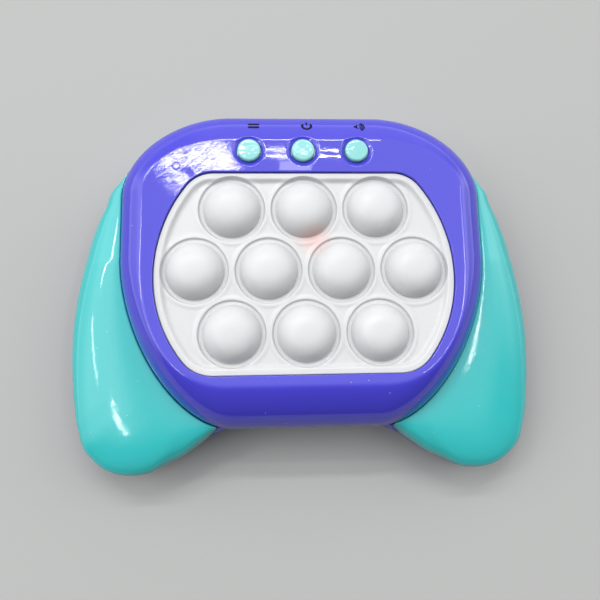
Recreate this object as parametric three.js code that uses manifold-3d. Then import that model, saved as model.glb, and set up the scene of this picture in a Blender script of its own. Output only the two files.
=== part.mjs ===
// Handheld quick push game: a two-tone plastic controller body with ten silicone push bubbles.
// Millimetres, +Z up. The game lies on its back, the buttons towards +Y, and stands on z = 0.
import * as THREE from 'three';
import { mergeVertices } from 'three/addons/utils/BufferGeometryUtils.js';
import Module from 'manifold-3d';

const wasm = await Module();
wasm.setup();

// Fits
const seatGap = 0.3;
const runGap = 0.4;
const overrun = 1;
const mergeDistance = 1e-4;

// Bubble field: rows of push bubbles on a triangular grid
const bubblePitch = 25.5;
const bubbleRows = [3, 4, 3];
const domeRadius = 10.1;
const domeRise = 6.3;
const bubbleSkin = 1.2;
const grooveRadius = 11.65;
const grooveDepth = 1;
const rimWidth = 1.9;
const endBorder = 1.5;
const nubRadius = 2.5;
const bubbleTravel = 4;

// Pad opening in the front cover
const openingSideRadius = 50;
const openingCorner = 12;

// Front cover outline, measured from the middle of the pad
const sideBand = 13.3;
const topBand = 24.2;
const bottomBand = 18.85;
const topFlatHalf = 26.3;
const bottomFlatHalf = 26;
const shoulderLine = 29;
const hipLine = 5;
const topRoundness = 1.9;
const bottomRoundness = 1.78;

// Crease, where the flat face turns down into the shoulder
const sideCrease = 8.2;
const topCrease = 11.4;
const bottomCrease = 10.9;
const creaseRoundness = 2.25;
const topDrop = 9;
const bottomDrop = 11.5;
const bevelPart = 0.4;

// Heights and walls
const rearDepth = 18;
const frontDepth = 22;
const coverWall = 2;
const ringDrop = 2;
const rearEdgeInset = 13;
const rearEdgeDepth = 14;

// Grip covers, from the seam on the body outline to their outer edge
const gripReach = 35;
const gripFullness = 2.2;
const crotchRound = 6;
const tipRound = 4.5;

// Silicone pad
const padThickness = 1.2;
const flangeWidth = 2.5;
const beadWidth = 2.2;
const beadRise = 1.3;
const beadEdge = 0.5;

// Control buttons
const buttonCount = 3;
const buttonPitch = 19.25;
const buttonSetback = 8;
const buttonRadius = 4.05;
const buttonProud = 0.9;
const buttonEdgeDrop = 0.7;
const buttonFlange = 5.1;
const buttonFlangeHeight = 1;
const buttonStem = 1.4;
const buttonTravel = 0.8;
const wellRadius = 5.8;
const wellDepth = 1.1;

// Main board and what stands on it
const boardDrop = 9;
const boardThickness = 1.6;
const boardSideMargin = 2;
const boardTopSetback = 12;
const boardBottomSetback = 7;
const boardTopCorner = 12;
const boardBottomCorner = 32;
const switchSize = 6;
const switchHeight = 3.2;
const switchWellDepth = 1.6;
const ledLength = 3.5;
const ledWidth = 2.8;
const ledHeight = 1.3;
const ledSetX = 2.5;
const ledSetY = -8.5;
const chipSize = 10;
const chipHeight = 1.5;
const chipSetY = 8;

// Pad support frame
const frameThickness = 2;
const pegRadius = 2;

// Screws, bosses and posts
const caseScrewRadius = 1.2;
const caseScrewHead = 2.7;
const caseScrewHeadHeight = 2;
const caseScrewLength = 14;
const screwSeatHeight = 8;
const bossRadius = 3.3;
const postRadius = 4.6;
const topScrewInset = 8.2;
const sideScrewInset = 5.4;
const gripScrewInset = 20;
const boardBossRadius = 3;
const boardBossTopHalf = 36;
const boardBossBottomHalf = 28;
const boardBossSetback = 8;
const boardScrewRadius = 1.1;
const boardScrewHead = 2.3;
const boardScrewHeadHeight = 1.8;
const boardScrewLength = 7;
const screwTip = 0.6;

// Batteries, their box and its door
const cellDiameter = 10.5;
const cellLength = 44.5;
const cellNubRadius = 1.9;
const cellNubHeight = 0.8;
const cellCount = 3;
const cellSpacing = 0.6;
const contactThickness = 0.5;
const contactWidth = 8.6;
const contactTabWidth = 3;
const contactTabRise = 2.6;
const boxWall = 1.6;
const boxSetY = -11;
const doorThickness = 1.8;
const doorRecess = 0.3;
const doorLedge = 1.6;
const doorTongue = 8;
const doorCorner = 2;
const doorScrewSet = 3.6;
const doorScrewRadius = 1.1;
const doorScrewHead = 2.3;
const doorScrewHeadHeight = 0.7;
const doorScrewLength = 5.2;
const doorHeadSink = 1.1;
const doorBossRadius = 3.2;
const doorBossHeight = 10;

// Speaker
const speakerRadius = 14;
const speakerRim = 1.8;
const speakerRimHeight = 1;
const speakerDepth = 6.2;
const speakerNeck = 7;
const speakerNeckWall = 1.2;
const speakerClear = 6;
const speakerRingWall = 1.3;
const speakerRingHeight = 4;
const magnetRadius = 5.4;
const magnetHeight = 4;
const coneGap = 0.6;
const coneDepth = 2.4;
const coneSkin = 0.4;
const grilleHoleRadius = 1;
const grilleRingStep = 4;
const grilleRings = 2;

// Wires
const wireRadius = 0.6;
const wireSpread = 3;
const wireBend = 6;

// Shares of the seam's length from its upper tip, each with its share of the full grip reach
const gripShares = [
  [0, 0.03], [0.04, 0.101], [0.08, 0.197], [0.12, 0.241], [0.16, 0.3], [0.24, 0.383],
  [0.33, 0.449], [0.42, 0.546], [0.5, 0.644], [0.58, 0.746], [0.66, 0.865], [0.73, 0.98],
  [0.78, 1.04], [0.82, 1.019], [0.85, 0.966], [0.865, 0.92], [0.88, 0.864], [0.893, 0.803],
  [0.905, 0.732], [0.925, 0.56], [0.945, 0.428], [0.963, 0.288], [1, 0.04],
];
// Where the seam starts and ends, as shares of the outline from the top middle to the bottom middle
const seamStartShare = 0.3385;
const seamEndShare = 0.847;
// Places of the case screws as shares of the same outline, and of the seam for the grips
const topScrewShare = 0.145;
const sideScrewShare = 0.415;
const gripScrewShare = 0.81;
// Rings of the shoulder, as shares of the way from the outline in to the crease
const shoulderShares = [0, 0.04, 0.12, 0.25, 0.45, 0.7, 1];
const hollowShares = [0, 0.12, 0.45, 1];

// Numbers of sides and steps of the round faces
const cornerSteps = 13;
const flatSteps = 3;
const openingSteps = 4;
const holeSides = 20;
const bossSides = 14;
const pinSides = 8;
const domeSides = 16;
const domeSteps = 4;
const lensSteps = 7;
const edgeSteps = 5;
const hollowEdgeSteps = 3;
const cornerBits = 3;
const wireSides = 6;
const wireSteps = 10;

// Heights worked out from the sizes above
const frontBase = rearDepth + seatGap;
const faceHeight = rearDepth + frontDepth;
const ringHeight = faceHeight - ringDrop;
const faceUnder = faceHeight - coverWall;
const recessHeight = ringHeight - grooveDepth;
const padBase = recessHeight - padThickness;
const flangeTop = faceUnder - seatGap;
const frameTop = padBase - seatGap;
const frameBase = frameTop - frameThickness;
const boardTop = ringHeight - boardDrop;
const boardBase = boardTop - boardThickness;
const onBoard = boardTop + seatGap;
const underBoard = boardBase - seatGap;
const nubBottom = onBoard + bubbleTravel;

// Places worked out from the sizes above
const rowPitch = bubblePitch * Math.sqrt(3) / 2;
const widestRow = Math.max(...bubbleRows);
const rimRadius = grooveRadius + rimWidth;
const openingHalfWidth = (widestRow - 1) / 2 * bubblePitch + grooveRadius + rimWidth;
const openingHalfHeight = (bubbleRows.length - 1) / 2 * rowPitch + grooveRadius + endBorder;
const bodyHalfWidth = openingHalfWidth + sideBand;
const bodyTop = openingHalfHeight + topBand;
const bodyBottom = openingHalfHeight + bottomBand;
const buttonLine = openingHalfHeight + buttonSetback;
const boardBossTopLine = buttonLine;
const boardBossBottomLine = -openingHalfHeight - boardBossSetback;

// Battery box worked out from the cells
const cellPitch = cellDiameter + cellSpacing;
const boxHalfLength = cellLength / 2 + seatGap + contactThickness + seatGap;
const boxHalfWidth = cellCount / 2 * cellPitch;
const ledgeHeight = doorRecess + doorThickness + seatGap;
const cellHeight = ledgeHeight + seatGap + cellDiameter / 2;
const boxCeiling = ledgeHeight + seatGap + cellDiameter + seatGap;
const boxTop = boxCeiling + boxWall;
const doorLeft = -boxHalfLength - doorLedge;
const doorRight = boxHalfLength + doorTongue;
const doorHalfWidth = boxHalfWidth + doorLedge;
const doorScrewX = doorRight - doorScrewSet;
const speakerY = boxSetY + doorHalfWidth + seatGap + boxWall + speakerClear + speakerRadius;
const speakerBase = coverWall + seatGap;
const speakerTop = speakerBase + speakerDepth;

const plastic = { roughness: 0.25, metalness: 0 };
const metal = { roughness: 0.35, metalness: 1 };
const materials = {
  purple: new THREE.MeshStandardMaterial({ color: 0x6a68dc, ...plastic }),
  teal: new THREE.MeshStandardMaterial({ color: 0x62cfca, ...plastic }),
  silicone: new THREE.MeshStandardMaterial({ color: 0xeceef0, roughness: 0.6, metalness: 0 }),
  aqua: new THREE.MeshStandardMaterial({ color: 0x8fe3d8, ...plastic }),
  white: new THREE.MeshStandardMaterial({ color: 0xe4e4e0, ...plastic }),
  board: new THREE.MeshStandardMaterial({ color: 0x1f6b3a, roughness: 0.5, metalness: 0 }),
  black: new THREE.MeshStandardMaterial({ color: 0x1c1c1e, roughness: 0.5, metalness: 0 }),
  red: new THREE.MeshStandardMaterial({ color: 0xb02020, roughness: 0.5, metalness: 0 }),
  lamp: new THREE.MeshStandardMaterial({ color: 0xf4f0e0, roughness: 0.3, metalness: 0 }),
  paper: new THREE.MeshStandardMaterial({ color: 0x3a3a3c, roughness: 0.9, metalness: 0 }),
  cell: new THREE.MeshStandardMaterial({ color: 0x2c5fa8, roughness: 0.35, metalness: 0.2 }),
  steel: new THREE.MeshStandardMaterial({ color: 0xb8bcc0, ...metal }),
};

// A solid from vertices and triangles, turned so that its faces point out.
function solidFrom(vertices, triangles) {
  const corner = (i) => new THREE.Vector3().fromArray(vertices, 3 * i);
  let volume = 0;
  for (let i = 0; i < triangles.length; i += 3) {
    const [a, b, c] = [0, 1, 2].map((k) => corner(triangles[i + k]));
    volume += a.dot(b.cross(c));
  }
  const faces = volume < 0 ? [...triangles].reverse() : triangles;
  const mesh = new wasm.Mesh({
    numProp: 3,
    vertProperties: Float32Array.from(vertices),
    triVerts: Uint32Array.from(faces),
  });
  return new wasm.Manifold(mesh);
}

// A solid from a closed three.js geometry.
function solidOf(geometry) {
  const bare = geometry.clone();
  bare.deleteAttribute('normal');
  bare.deleteAttribute('uv');
  const merged = mergeVertices(bare, mergeDistance);
  const index = [...merged.index.array];
  const faces = [];
  for (let i = 0; i < index.length; i += 3) {
    const [a, b, c] = index.slice(i, i + 3);
    if (a !== b && b !== c && c !== a) {
      faces.push(a, b, c);
    }
  }
  return solidFrom([...merged.attributes.position.array], faces);
}

// A named mesh from a solid.
function piece(name, solid, material) {
  const mesh = solid.getMesh();
  const geometry = new THREE.BufferGeometry();
  const vertices = [];
  for (let i = 0; i < mesh.vertProperties.length; i += mesh.numProp) {
    vertices.push(...mesh.vertProperties.slice(i, i + 3));
  }
  geometry.setAttribute('position', new THREE.Float32BufferAttribute(vertices, 3));
  geometry.setIndex([...mesh.triVerts]);
  geometry.computeVertexNormals();
  const made = new THREE.Mesh(geometry, material);
  made.name = name;
  return made;
}

// The middle of a ring's own box.
function middle(ring) {
  return new THREE.Box3().setFromPoints(ring).getCenter(new THREE.Vector3());
}

// A solid through a stack of rings with equal numbers of points. Its first and last ring are
// closed by fans round their middles.
function loft(rings) {
  const count = rings[0].length;
  const points = [...rings.flat(), middle(rings[0]), middle(rings.at(-1))];
  const last = (rings.length - 1) * count;
  const faces = [];
  for (let k = 0; k < count; k++) {
    const next = (k + 1) % count;
    faces.push(points.length - 2, next, k);
    for (let r = 0; r + 1 < rings.length; r++) {
      const a = r * count + k;
      const b = r * count + next;
      faces.push(a, b, b + count, a, b + count, a + count);
    }
    faces.push(points.length - 1, last + k, last + next);
  }
  return solidFrom(points.flatMap((point) => [point.x, point.y, point.z]), faces);
}

// A plan outline lifted to a height.
function ringAt(outline, height) {
  return outline.map((point) => new THREE.Vector3(point.x, point.y, height));
}

// A prism over a plan outline.
function prism(outline, bottom, top) {
  return loft([ringAt(outline, bottom), ringAt(outline, top)]);
}

// An upright cylinder.
function post(x, y, radius, bottom, top, sides) {
  const geometry = new THREE.CylinderGeometry(radius, radius, top - bottom, sides);
  geometry.rotateX(Math.PI / 2);
  geometry.translate(x, y, (bottom + top) / 2);
  return solidOf(geometry);
}

// A box between two corners.
function block(x0, x1, y0, y1, z0, z1) {
  const geometry = new THREE.BoxGeometry(x1 - x0, y1 - y0, z1 - z0);
  geometry.translate((x0 + x1) / 2, (y0 + y1) / 2, (z0 + z1) / 2);
  return solidOf(geometry);
}

// A turned solid about an upright axis, from a profile of radii and heights.
function turned(profile, sides) {
  const points = profile.map(([radius, height]) => new THREE.Vector2(radius, height));
  const geometry = new THREE.LatheGeometry(points, sides);
  geometry.rotateX(Math.PI / 2);
  return solidOf(geometry);
}

function addAll(solid, others) {
  return others.reduce((sum, other) => sum.add(other), solid);
}

function cutAll(solid, others) {
  return others.reduce((rest, other) => rest.subtract(other), solid);
}

// A share of a quarter turn.
function quarter(share) {
  return share * Math.PI / 2;
}

// Half of a rounded body outline, from the middle of its top edge down the right side to the
// middle of its bottom edge. Its corners are superellipses.
function halfOutline(halfWidth, top, bottom, bottomPower) {
  const half = [];
  for (let k = 0; k < flatSteps; k++) {
    half.push(new THREE.Vector2(topFlatHalf * k / flatSteps, top));
  }
  for (let k = 0; k <= cornerSteps; k++) {
    const turn = quarter(1 - k / cornerSteps);
    const x = (halfWidth - topFlatHalf) * Math.cos(turn) ** (2 / topRoundness);
    const y = (top - shoulderLine) * Math.sin(turn) ** (2 / topRoundness);
    half.push(new THREE.Vector2(topFlatHalf + x, shoulderLine + y));
  }
  for (let k = 1; k < flatSteps; k++) {
    half.push(new THREE.Vector2(halfWidth, shoulderLine + (hipLine - shoulderLine) * k / flatSteps));
  }
  for (let k = 0; k <= cornerSteps; k++) {
    const turn = quarter(k / cornerSteps);
    const x = (halfWidth - bottomFlatHalf) * Math.cos(turn) ** (2 / bottomPower);
    const y = (bottom + hipLine) * Math.sin(turn) ** (2 / bottomPower);
    half.push(new THREE.Vector2(bottomFlatHalf + x, hipLine - y));
  }
  for (let k = 1; k <= flatSteps; k++) {
    half.push(new THREE.Vector2(bottomFlatHalf * (1 - k / flatSteps), -bottom));
  }
  return half;
}

// The whole outline, counter-clockwise from the middle of the bottom edge.
function mirrored(half) {
  const right = [...half].reverse();
  const left = half.slice(1, -1).map((point) => new THREE.Vector2(-point.x, point.y));
  return [...right, ...left];
}

// A counter-clockwise outline moved inwards by a distance, square to itself.
function inset(outline, distance) {
  return outline.map((point, k) => {
    const before = outline.at(k - 1);
    const after = outline[(k + 1) % outline.length];
    const along = after.clone().sub(before).normalize();
    return new THREE.Vector2(point.x - along.y * distance, point.y + along.x * distance);
  });
}

// The pad opening, grown outwards by a distance: flat ends, bowed sides and round corners.
function openingOutline(grow) {
  const sideX = openingHalfWidth - openingSideRadius;
  const cornerY = openingHalfHeight - openingCorner;
  const cornerX = sideX + Math.sqrt((openingSideRadius - openingCorner) ** 2 - cornerY ** 2);
  const meet = Math.atan2(cornerY, cornerX - sideX);
  const side = openingSideRadius + grow;
  const corner = openingCorner + grow;
  const shape = new THREE.Shape();
  shape.absarc(sideX, 0, side, -meet, meet);
  shape.absarc(cornerX, cornerY, corner, meet, Math.PI / 2);
  shape.absarc(-cornerX, cornerY, corner, Math.PI / 2, Math.PI - meet);
  shape.absarc(-sideX, 0, side, Math.PI - meet, Math.PI + meet);
  shape.absarc(-cornerX, -cornerY, corner, Math.PI + meet, 3 / 2 * Math.PI);
  shape.absarc(cornerX, -cornerY, corner, 3 / 2 * Math.PI, 2 * Math.PI - meet);
  return distinct(shape.getPoints(openingSteps));
}

// Points of a closed outline without doubles.
function distinct(points) {
  return points.filter((point, k) => point.distanceTo(points.at(k - 1)) > mergeDistance);
}

// A rectangle with round corners.
function roundedRectangle(left, right, bottom, top, lowCorner, highCorner) {
  const shape = new THREE.Shape();
  shape.absarc(right - lowCorner, bottom + lowCorner, lowCorner, -Math.PI / 2, 0);
  shape.absarc(right - highCorner, top - highCorner, highCorner, 0, Math.PI / 2);
  shape.absarc(left + highCorner, top - highCorner, highCorner, Math.PI / 2, Math.PI);
  shape.absarc(left + lowCorner, bottom + lowCorner, lowCorner, Math.PI, 3 / 2 * Math.PI);
  return distinct(shape.getPoints(openingSteps));
}

const bodyHalf = halfOutline(bodyHalfWidth, bodyTop, bodyBottom, bottomRoundness);
const bodyCurve = new THREE.SplineCurve(bodyHalf);

// A point of the right half of the body outline, and the way out of the body there.
function bodyAt(share) {
  const point = bodyCurve.getPointAt(share);
  const along = bodyCurve.getTangentAt(share);
  return { point, out: new THREE.Vector2(-along.y, along.x) };
}

function seamAt(share) {
  return bodyAt(seamStartShare + (seamEndShare - seamStartShare) * share);
}

// How far the shoulder drops from the face to the outline: more towards the bottom edge.
function shoulderDrop(y) {
  const down = THREE.MathUtils.clamp((hipLine - y) / (hipLine + bodyBottom), 0, 1);
  return topDrop + (bottomDrop - topDrop) * down;
}

// Centres of the bubbles, row by row from the top.
function bubbleCentres() {
  const centres = [];
  bubbleRows.forEach((count, row) => {
    for (let k = 0; k < count; k++) {
      const x = (k - (count - 1) / 2) * bubblePitch;
      const y = ((bubbleRows.length - 1) / 2 - row) * rowPitch;
      centres.push(new THREE.Vector2(x, y));
    }
  });
  return centres;
}

const centres = bubbleCentres();
const buttonXs = Array.from({ length: buttonCount }, (_, k) => (k - (buttonCount - 1) / 2) * buttonPitch);

// Case screws: two at the top edge, two at the sides and two in the grips.
function caseScrewPlaces() {
  const top = bodyAt(topScrewShare);
  const side = bodyAt(sideScrewShare);
  const grip = seamAt(gripScrewShare);
  const right = [
    top.point.clone().addScaledVector(top.out, -topScrewInset),
    side.point.clone().addScaledVector(side.out, -sideScrewInset),
    grip.point.clone().addScaledVector(grip.out, gripScrewInset),
  ];
  return right.flatMap((place) => [new THREE.Vector2(-place.x, place.y), place]);
}

const screwPlaces = caseScrewPlaces();
const coverScrews = screwPlaces.slice(0, 4);
const gripScrews = screwPlaces.slice(4);
const boardBosses = [
  new THREE.Vector2(-boardBossTopHalf, boardBossTopLine),
  new THREE.Vector2(boardBossTopHalf, boardBossTopLine),
  new THREE.Vector2(-boardBossBottomHalf, boardBossBottomLine),
  new THREE.Vector2(boardBossBottomHalf, boardBossBottomLine),
];
const caseHoleTop = screwSeatHeight + caseScrewLength + overrun;
const boardHoleTop = boardBase + boardScrewLength + overrun;

// One skin of the front cover as a full solid, moved in by a depth.
function coverBody(depth) {
  const edge = inset(mirrored(bodyHalf), depth);
  const crease = mirrored(halfOutline(
    bodyHalfWidth - sideCrease,
    bodyTop - topCrease,
    bodyBottom - bottomCrease,
    creaseRoundness,
  ));
  const base = depth > 0 ? frontBase - overrun : frontBase;
  const rings = [ringAt(edge, base)];
  for (const share of depth > 0 ? hollowShares : shoulderShares) {
    const rise = bevelPart * (1 - share) + (1 - bevelPart) * (1 - Math.sqrt(1 - (1 - share) ** 2));
    rings.push(edge.map((point, k) => {
      const height = faceHeight - depth - shoulderDrop(point.y) * rise;
      return new THREE.Vector3(
        point.x + (crease[k].x - point.x) * share,
        point.y + (crease[k].y - point.y) * share,
        height,
      );
    }));
  }
  return loft(rings);
}

// The front cover: a dished shell with the pad opening, three button wells, four case screw
// bosses and four board bosses.
function frontCover() {
  const full = coverBody(0);
  const bosses = [
    ...coverScrews.map((place) => post(place.x, place.y, bossRadius, frontBase, faceHeight, bossSides)),
    ...boardBosses.map((place) => post(place.x, place.y, boardBossRadius, onBoard, faceHeight, bossSides)),
  ].map((boss) => boss.intersect(full));
  const holes = [
    prism(openingOutline(0), recessHeight, faceHeight + overrun),
    ...coverScrews.map((place) => (
      post(place.x, place.y, caseScrewRadius + runGap, frontBase - overrun, caseHoleTop, pinSides)
    )),
    ...boardBosses.map((place) => (
      post(place.x, place.y, boardScrewRadius + runGap, onBoard - overrun, boardHoleTop, pinSides)
    )),
    ...buttonXs.map((x) => wellCutter().translate(x, buttonLine, faceHeight)),
  ];
  return cutAll(addAll(full.subtract(coverBody(coverWall)), bosses), holes);
}

// The countersink and bore of one button, about its axis, with z = 0 on the face.
function wellCutter() {
  const bore = buttonRadius + runGap;
  const slope = (wellRadius - bore) / wellDepth;
  return turned([
    [0, -coverWall - overrun],
    [bore, -coverWall - overrun],
    [bore, -wellDepth],
    [wellRadius + slope * overrun, overrun],
    [0, overrun],
  ], holeSides);
}

// Reach of the grip at each of its sections.
function gripSections() {
  return gripShares.map(([seamShare, reachShare]) => ({
    ...seamAt(seamShare),
    reach: gripReach * reachShare,
  }));
}

// A lens between the seam and the grip's outer edge, from a start inside the seam gap.
function gripLens(sections, start, thin, base) {
  const rings = sections.map(({ point, out, reach }) => {
    const seamHeight = faceHeight - shoulderDrop(point.y);
    const rise = seamHeight - thin - frontBase;
    const width = reach - thin - start;
    const ring = [];
    for (let k = 0; k <= lensSteps; k++) {
      const turn = quarter(k / lensSteps);
      const along = start + width * Math.sin(turn) ** (2 / gripFullness);
      const height = frontBase + rise * Math.cos(turn) ** (2 / gripFullness);
      ring.push({ along, height: k === lensSteps ? base : height });
    }
    ring.push({ along: start, height: base });
    return ring.map(({ along, height }) => (
      new THREE.Vector3(point.x + out.x * along, point.y + out.y * along, height)
    ));
  });
  return loft(rings);
}

// The right grip cover: a thin bulging shell beside the body, with a screw boss in its lobe.
function gripCover() {
  const sections = gripSections();
  const full = gripLens(sections, seatGap, 0, frontBase);
  const hollow = gripLens(sections.slice(2, -1), seatGap - overrun, coverWall, frontBase - overrun);
  const place = gripScrews[1];
  const boss = post(place.x, place.y, bossRadius, frontBase, faceHeight, bossSides).intersect(full);
  const radius = caseScrewRadius + runGap;
  const bore = post(place.x, place.y, radius, frontBase - overrun, caseHoleTop, pinSides);
  return full.subtract(hollow).add(boss).subtract(bore);
}

// The outline of the rear cover: the body's at top and bottom, the grips' at the sides, with the
// corner between the body and each grip rounded.
function rearHalf() {
  const sections = gripSections();
  const grip = sections.map(({ point, out, reach }) => point.clone().addScaledVector(out, reach));
  const tip = grip.shift();
  const root = grip.pop();
  const above = bodyAt(seamStartShare - tipRound / bodyCurve.getLength()).point;
  const below = tip.clone().lerp(grip[0], tipRound / tip.distanceTo(grip[0]));
  const outer = root.clone().lerp(grip.at(-1), crotchRound / root.distanceTo(grip.at(-1)));
  const inner = new THREE.Vector2(root.x - crotchRound, -bodyBottom);
  return [
    ...bodyHalf.filter((point) => point.y > above.y && point.x < above.x - seatGap),
    ...new THREE.QuadraticBezierCurve(above, tip, below).getPoints(cornerBits),
    ...grip.filter((point) => point.y < below.y - seatGap),
    ...new THREE.QuadraticBezierCurve(outer, root, inner).getPoints(cornerBits),
    ...bodyHalf.filter((point) => point.y < -hipLine && point.x < inner.x - seatGap),
  ];
}

const rearOutline = mirrored(rearHalf());

// One skin of the rear cover as a full solid: a bowl with an elliptical edge and a flat bottom.
function bowl(depth) {
  const steps = depth > 0 ? hollowEdgeSteps : edgeSteps;
  const rings = [];
  for (let k = 0; k <= steps; k++) {
    const turn = quarter(k / steps);
    const inward = depth + (rearEdgeInset - depth) * (1 - Math.sin(turn));
    const height = depth + (rearEdgeDepth - depth) * (1 - Math.cos(turn));
    rings.push(ringAt(inset(rearOutline, inward), height));
  }
  const top = depth > 0 ? rearDepth + overrun : rearDepth;
  rings.push(ringAt(inset(rearOutline, depth), top));
  return loft(rings);
}

// Holes of the speaker grille: one in the middle and rings of six, twelve and so on.
function grilleHoles() {
  const holes = [];
  for (let ring = 0; ring <= grilleRings; ring++) {
    const count = Math.max(1, ring * 6);
    for (let k = 0; k < count; k++) {
      const turn = 2 * Math.PI * k / count;
      const x = ring * grilleRingStep * Math.cos(turn);
      const y = speakerY + ring * grilleRingStep * Math.sin(turn);
      holes.push(post(x, y, grilleHoleRadius, -overrun, coverWall + overrun, pinSides));
    }
  }
  return holes;
}

// The rear cover: a bowl with the battery box, screw posts, a speaker ring and its grille.
function rearCover() {
  const full = bowl(0);
  const ledge = doorHalfWidth + seatGap + boxWall;
  const ring = speakerRadius + seatGap + speakerRingWall;
  const ringTop = coverWall + speakerRingHeight;
  const collar = post(0, speakerY, ring, 0, ringTop, holeSides)
    .subtract(post(0, speakerY, speakerRadius + seatGap, -overrun, ringTop + overrun, holeSides));
  const added = [
    block(
      -boxHalfLength - boxWall,
      boxHalfLength + boxWall,
      boxSetY - boxHalfWidth - boxWall,
      boxSetY + boxHalfWidth + boxWall,
      0,
      boxTop,
    ),
    block(
      doorLeft - seatGap - boxWall,
      doorRight + seatGap + boxWall,
      boxSetY - ledge,
      boxSetY + ledge,
      0,
      ledgeHeight + boxWall,
    ),
    post(doorScrewX, boxSetY, doorBossRadius, 0, doorBossHeight, bossSides),
    collar,
    ...screwPlaces.map((place) => post(place.x, place.y, postRadius, 0, rearDepth, bossSides)),
  ].map((solid) => solid.intersect(full));
  const cut = [
    block(
      -boxHalfLength,
      boxHalfLength,
      boxSetY - boxHalfWidth,
      boxSetY + boxHalfWidth,
      -overrun,
      boxCeiling,
    ),
    prism(doorOutline(seatGap), -overrun, ledgeHeight),
    post(doorScrewX, boxSetY, doorScrewRadius + 2 * runGap, 0, doorBossHeight - overrun, pinSides),
    ...[contactTabAt(1), contactTabAt(-1)].map(([x, y]) => block(
      x - contactThickness / 2 - seatGap,
      x + contactThickness / 2 + seatGap,
      y - contactTabWidth / 2 - seatGap,
      y + contactTabWidth / 2 + seatGap,
      boxCeiling - overrun,
      boxTop + overrun,
    )),
    ...grilleHoles(),
    ...screwPlaces.flatMap((place) => [
      post(place.x, place.y, caseScrewHead + runGap, -overrun, screwSeatHeight, bossSides),
      post(place.x, place.y, caseScrewRadius + runGap, 0, rearDepth + overrun, pinSides),
    ]),
  ];
  return cutAll(addAll(full.subtract(bowl(coverWall)), added), cut);
}

function doorOutline(grow) {
  const corner = doorCorner + grow;
  return roundedRectangle(
    doorLeft - grow,
    doorRight + grow,
    boxSetY - doorHalfWidth - grow,
    boxSetY + doorHalfWidth + grow,
    corner,
    corner,
  );
}

// The battery door: a flat plate with a sunk screw hole in its tongue.
function batteryDoor() {
  const top = doorRecess + doorThickness;
  const plate = prism(doorOutline(0), doorRecess, top);
  return cutAll(plate, [
    post(doorScrewX, boxSetY, doorScrewHead + seatGap, 0, doorRecess + doorHeadSink, bossSides),
    post(doorScrewX, boxSetY, doorScrewRadius + seatGap, 0, top + overrun, pinSides),
  ]);
}

// A screw about its axis, head down, with z = 0 under the head's seat.
function screw(radius, length, head, headHeight) {
  return turned([
    [0, -headHeight],
    [head, -headHeight],
    [head, 0],
    [radius, 0],
    [radius, length - screwTip],
    [0, length],
  ], pinSides);
}

// The silicone pad: a plate with a flange under the cover, a bead along the opening and a
// raised rim round each bubble's hole.
function bubblePad() {
  const inner = -seatGap - beadWidth;
  const profile = [
    [flangeWidth, padBase],
    [flangeWidth, flangeTop],
    [-seatGap, flangeTop],
    [-seatGap, recessHeight + beadRise - beadEdge],
    [-seatGap - beadEdge, recessHeight + beadRise],
    [inner + beadEdge, recessHeight + beadRise],
    [inner, recessHeight + beadRise - beadEdge],
    [inner, recessHeight],
  ];
  const plate = loft(profile.map(([grow, height]) => ringAt(openingOutline(grow), height)));
  const window = prism(openingOutline(-seatGap), padBase, ringHeight);
  const rims = centres.map(({ x, y }) => (
    post(x, y, rimRadius, padBase, ringHeight, holeSides).intersect(window)
  ));
  const holes = centres.map(({ x, y }) => (
    post(x, y, grooveRadius, padBase - overrun, faceHeight, holeSides)
  ));
  return cutAll(addAll(plate, rims), holes);
}

// One bubble about its axis, with z = 0 at the top of its ring: a domed skin with a nub inside.
function bubble() {
  const sphere = (domeRadius ** 2 + domeRise ** 2) / (2 * domeRise);
  const centre = domeRise - grooveDepth - sphere;
  const rim = grooveRadius - seatGap;
  const base = -grooveDepth - padThickness;
  const inside = sphere - bubbleSkin;
  const arc = (radius, from, to, steps) => Array.from({ length: steps + 1 }, (_, k) => {
    const turn = from + (to - from) * k / steps;
    return [radius * Math.sin(turn), centre + radius * Math.cos(turn)];
  });
  const outer = arc(sphere, 0, Math.asin(domeRadius / sphere), domeSteps);
  const low = Math.acos((base - centre) / inside);
  const inner = arc(inside, low, Math.asin(nubRadius / inside), domeSteps / 2);
  return turned([
    ...outer,
    [rim, -grooveDepth],
    [rim, base],
    ...inner,
    [nubRadius, nubBottom - ringHeight],
    [0, nubBottom - ringHeight],
  ], domeSides);
}

// The frame under the pad: a plate with a hole for each bubble, on six pegs that stand on the board.
function supportFrame() {
  const plate = prism(openingOutline(flangeWidth), frameBase, frameTop);
  const pegY = rowPitch / 3;
  const pegs = [-bubblePitch, 0, bubblePitch].flatMap((x) => [-pegY, pegY].map((y) => (
    post(x, y, pegRadius, onBoard, frameTop, pinSides)
  )));
  const radius = grooveRadius + runGap - seatGap;
  const holes = centres.map(({ x, y }) => (
    post(x, y, radius, frameBase - overrun, frameTop + overrun, holeSides)
  ));
  return cutAll(plate, holes).add(addAll(pegs[0], pegs.slice(1)));
}

// The main board, with a clearance hole for each of its screws.
function mainBoard() {
  const half = openingHalfWidth + boardSideMargin;
  const outline = roundedRectangle(
    -half,
    half,
    -bodyBottom + boardBottomSetback,
    bodyTop - boardTopSetback,
    boardBottomCorner,
    boardTopCorner,
  );
  const holes = boardBosses.map(({ x, y }) => (
    post(x, y, boardScrewRadius + seatGap, boardBase - overrun, boardTop + overrun, pinSides)
  ));
  return cutAll(prism(outline, boardBase, boardTop), holes);
}

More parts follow.
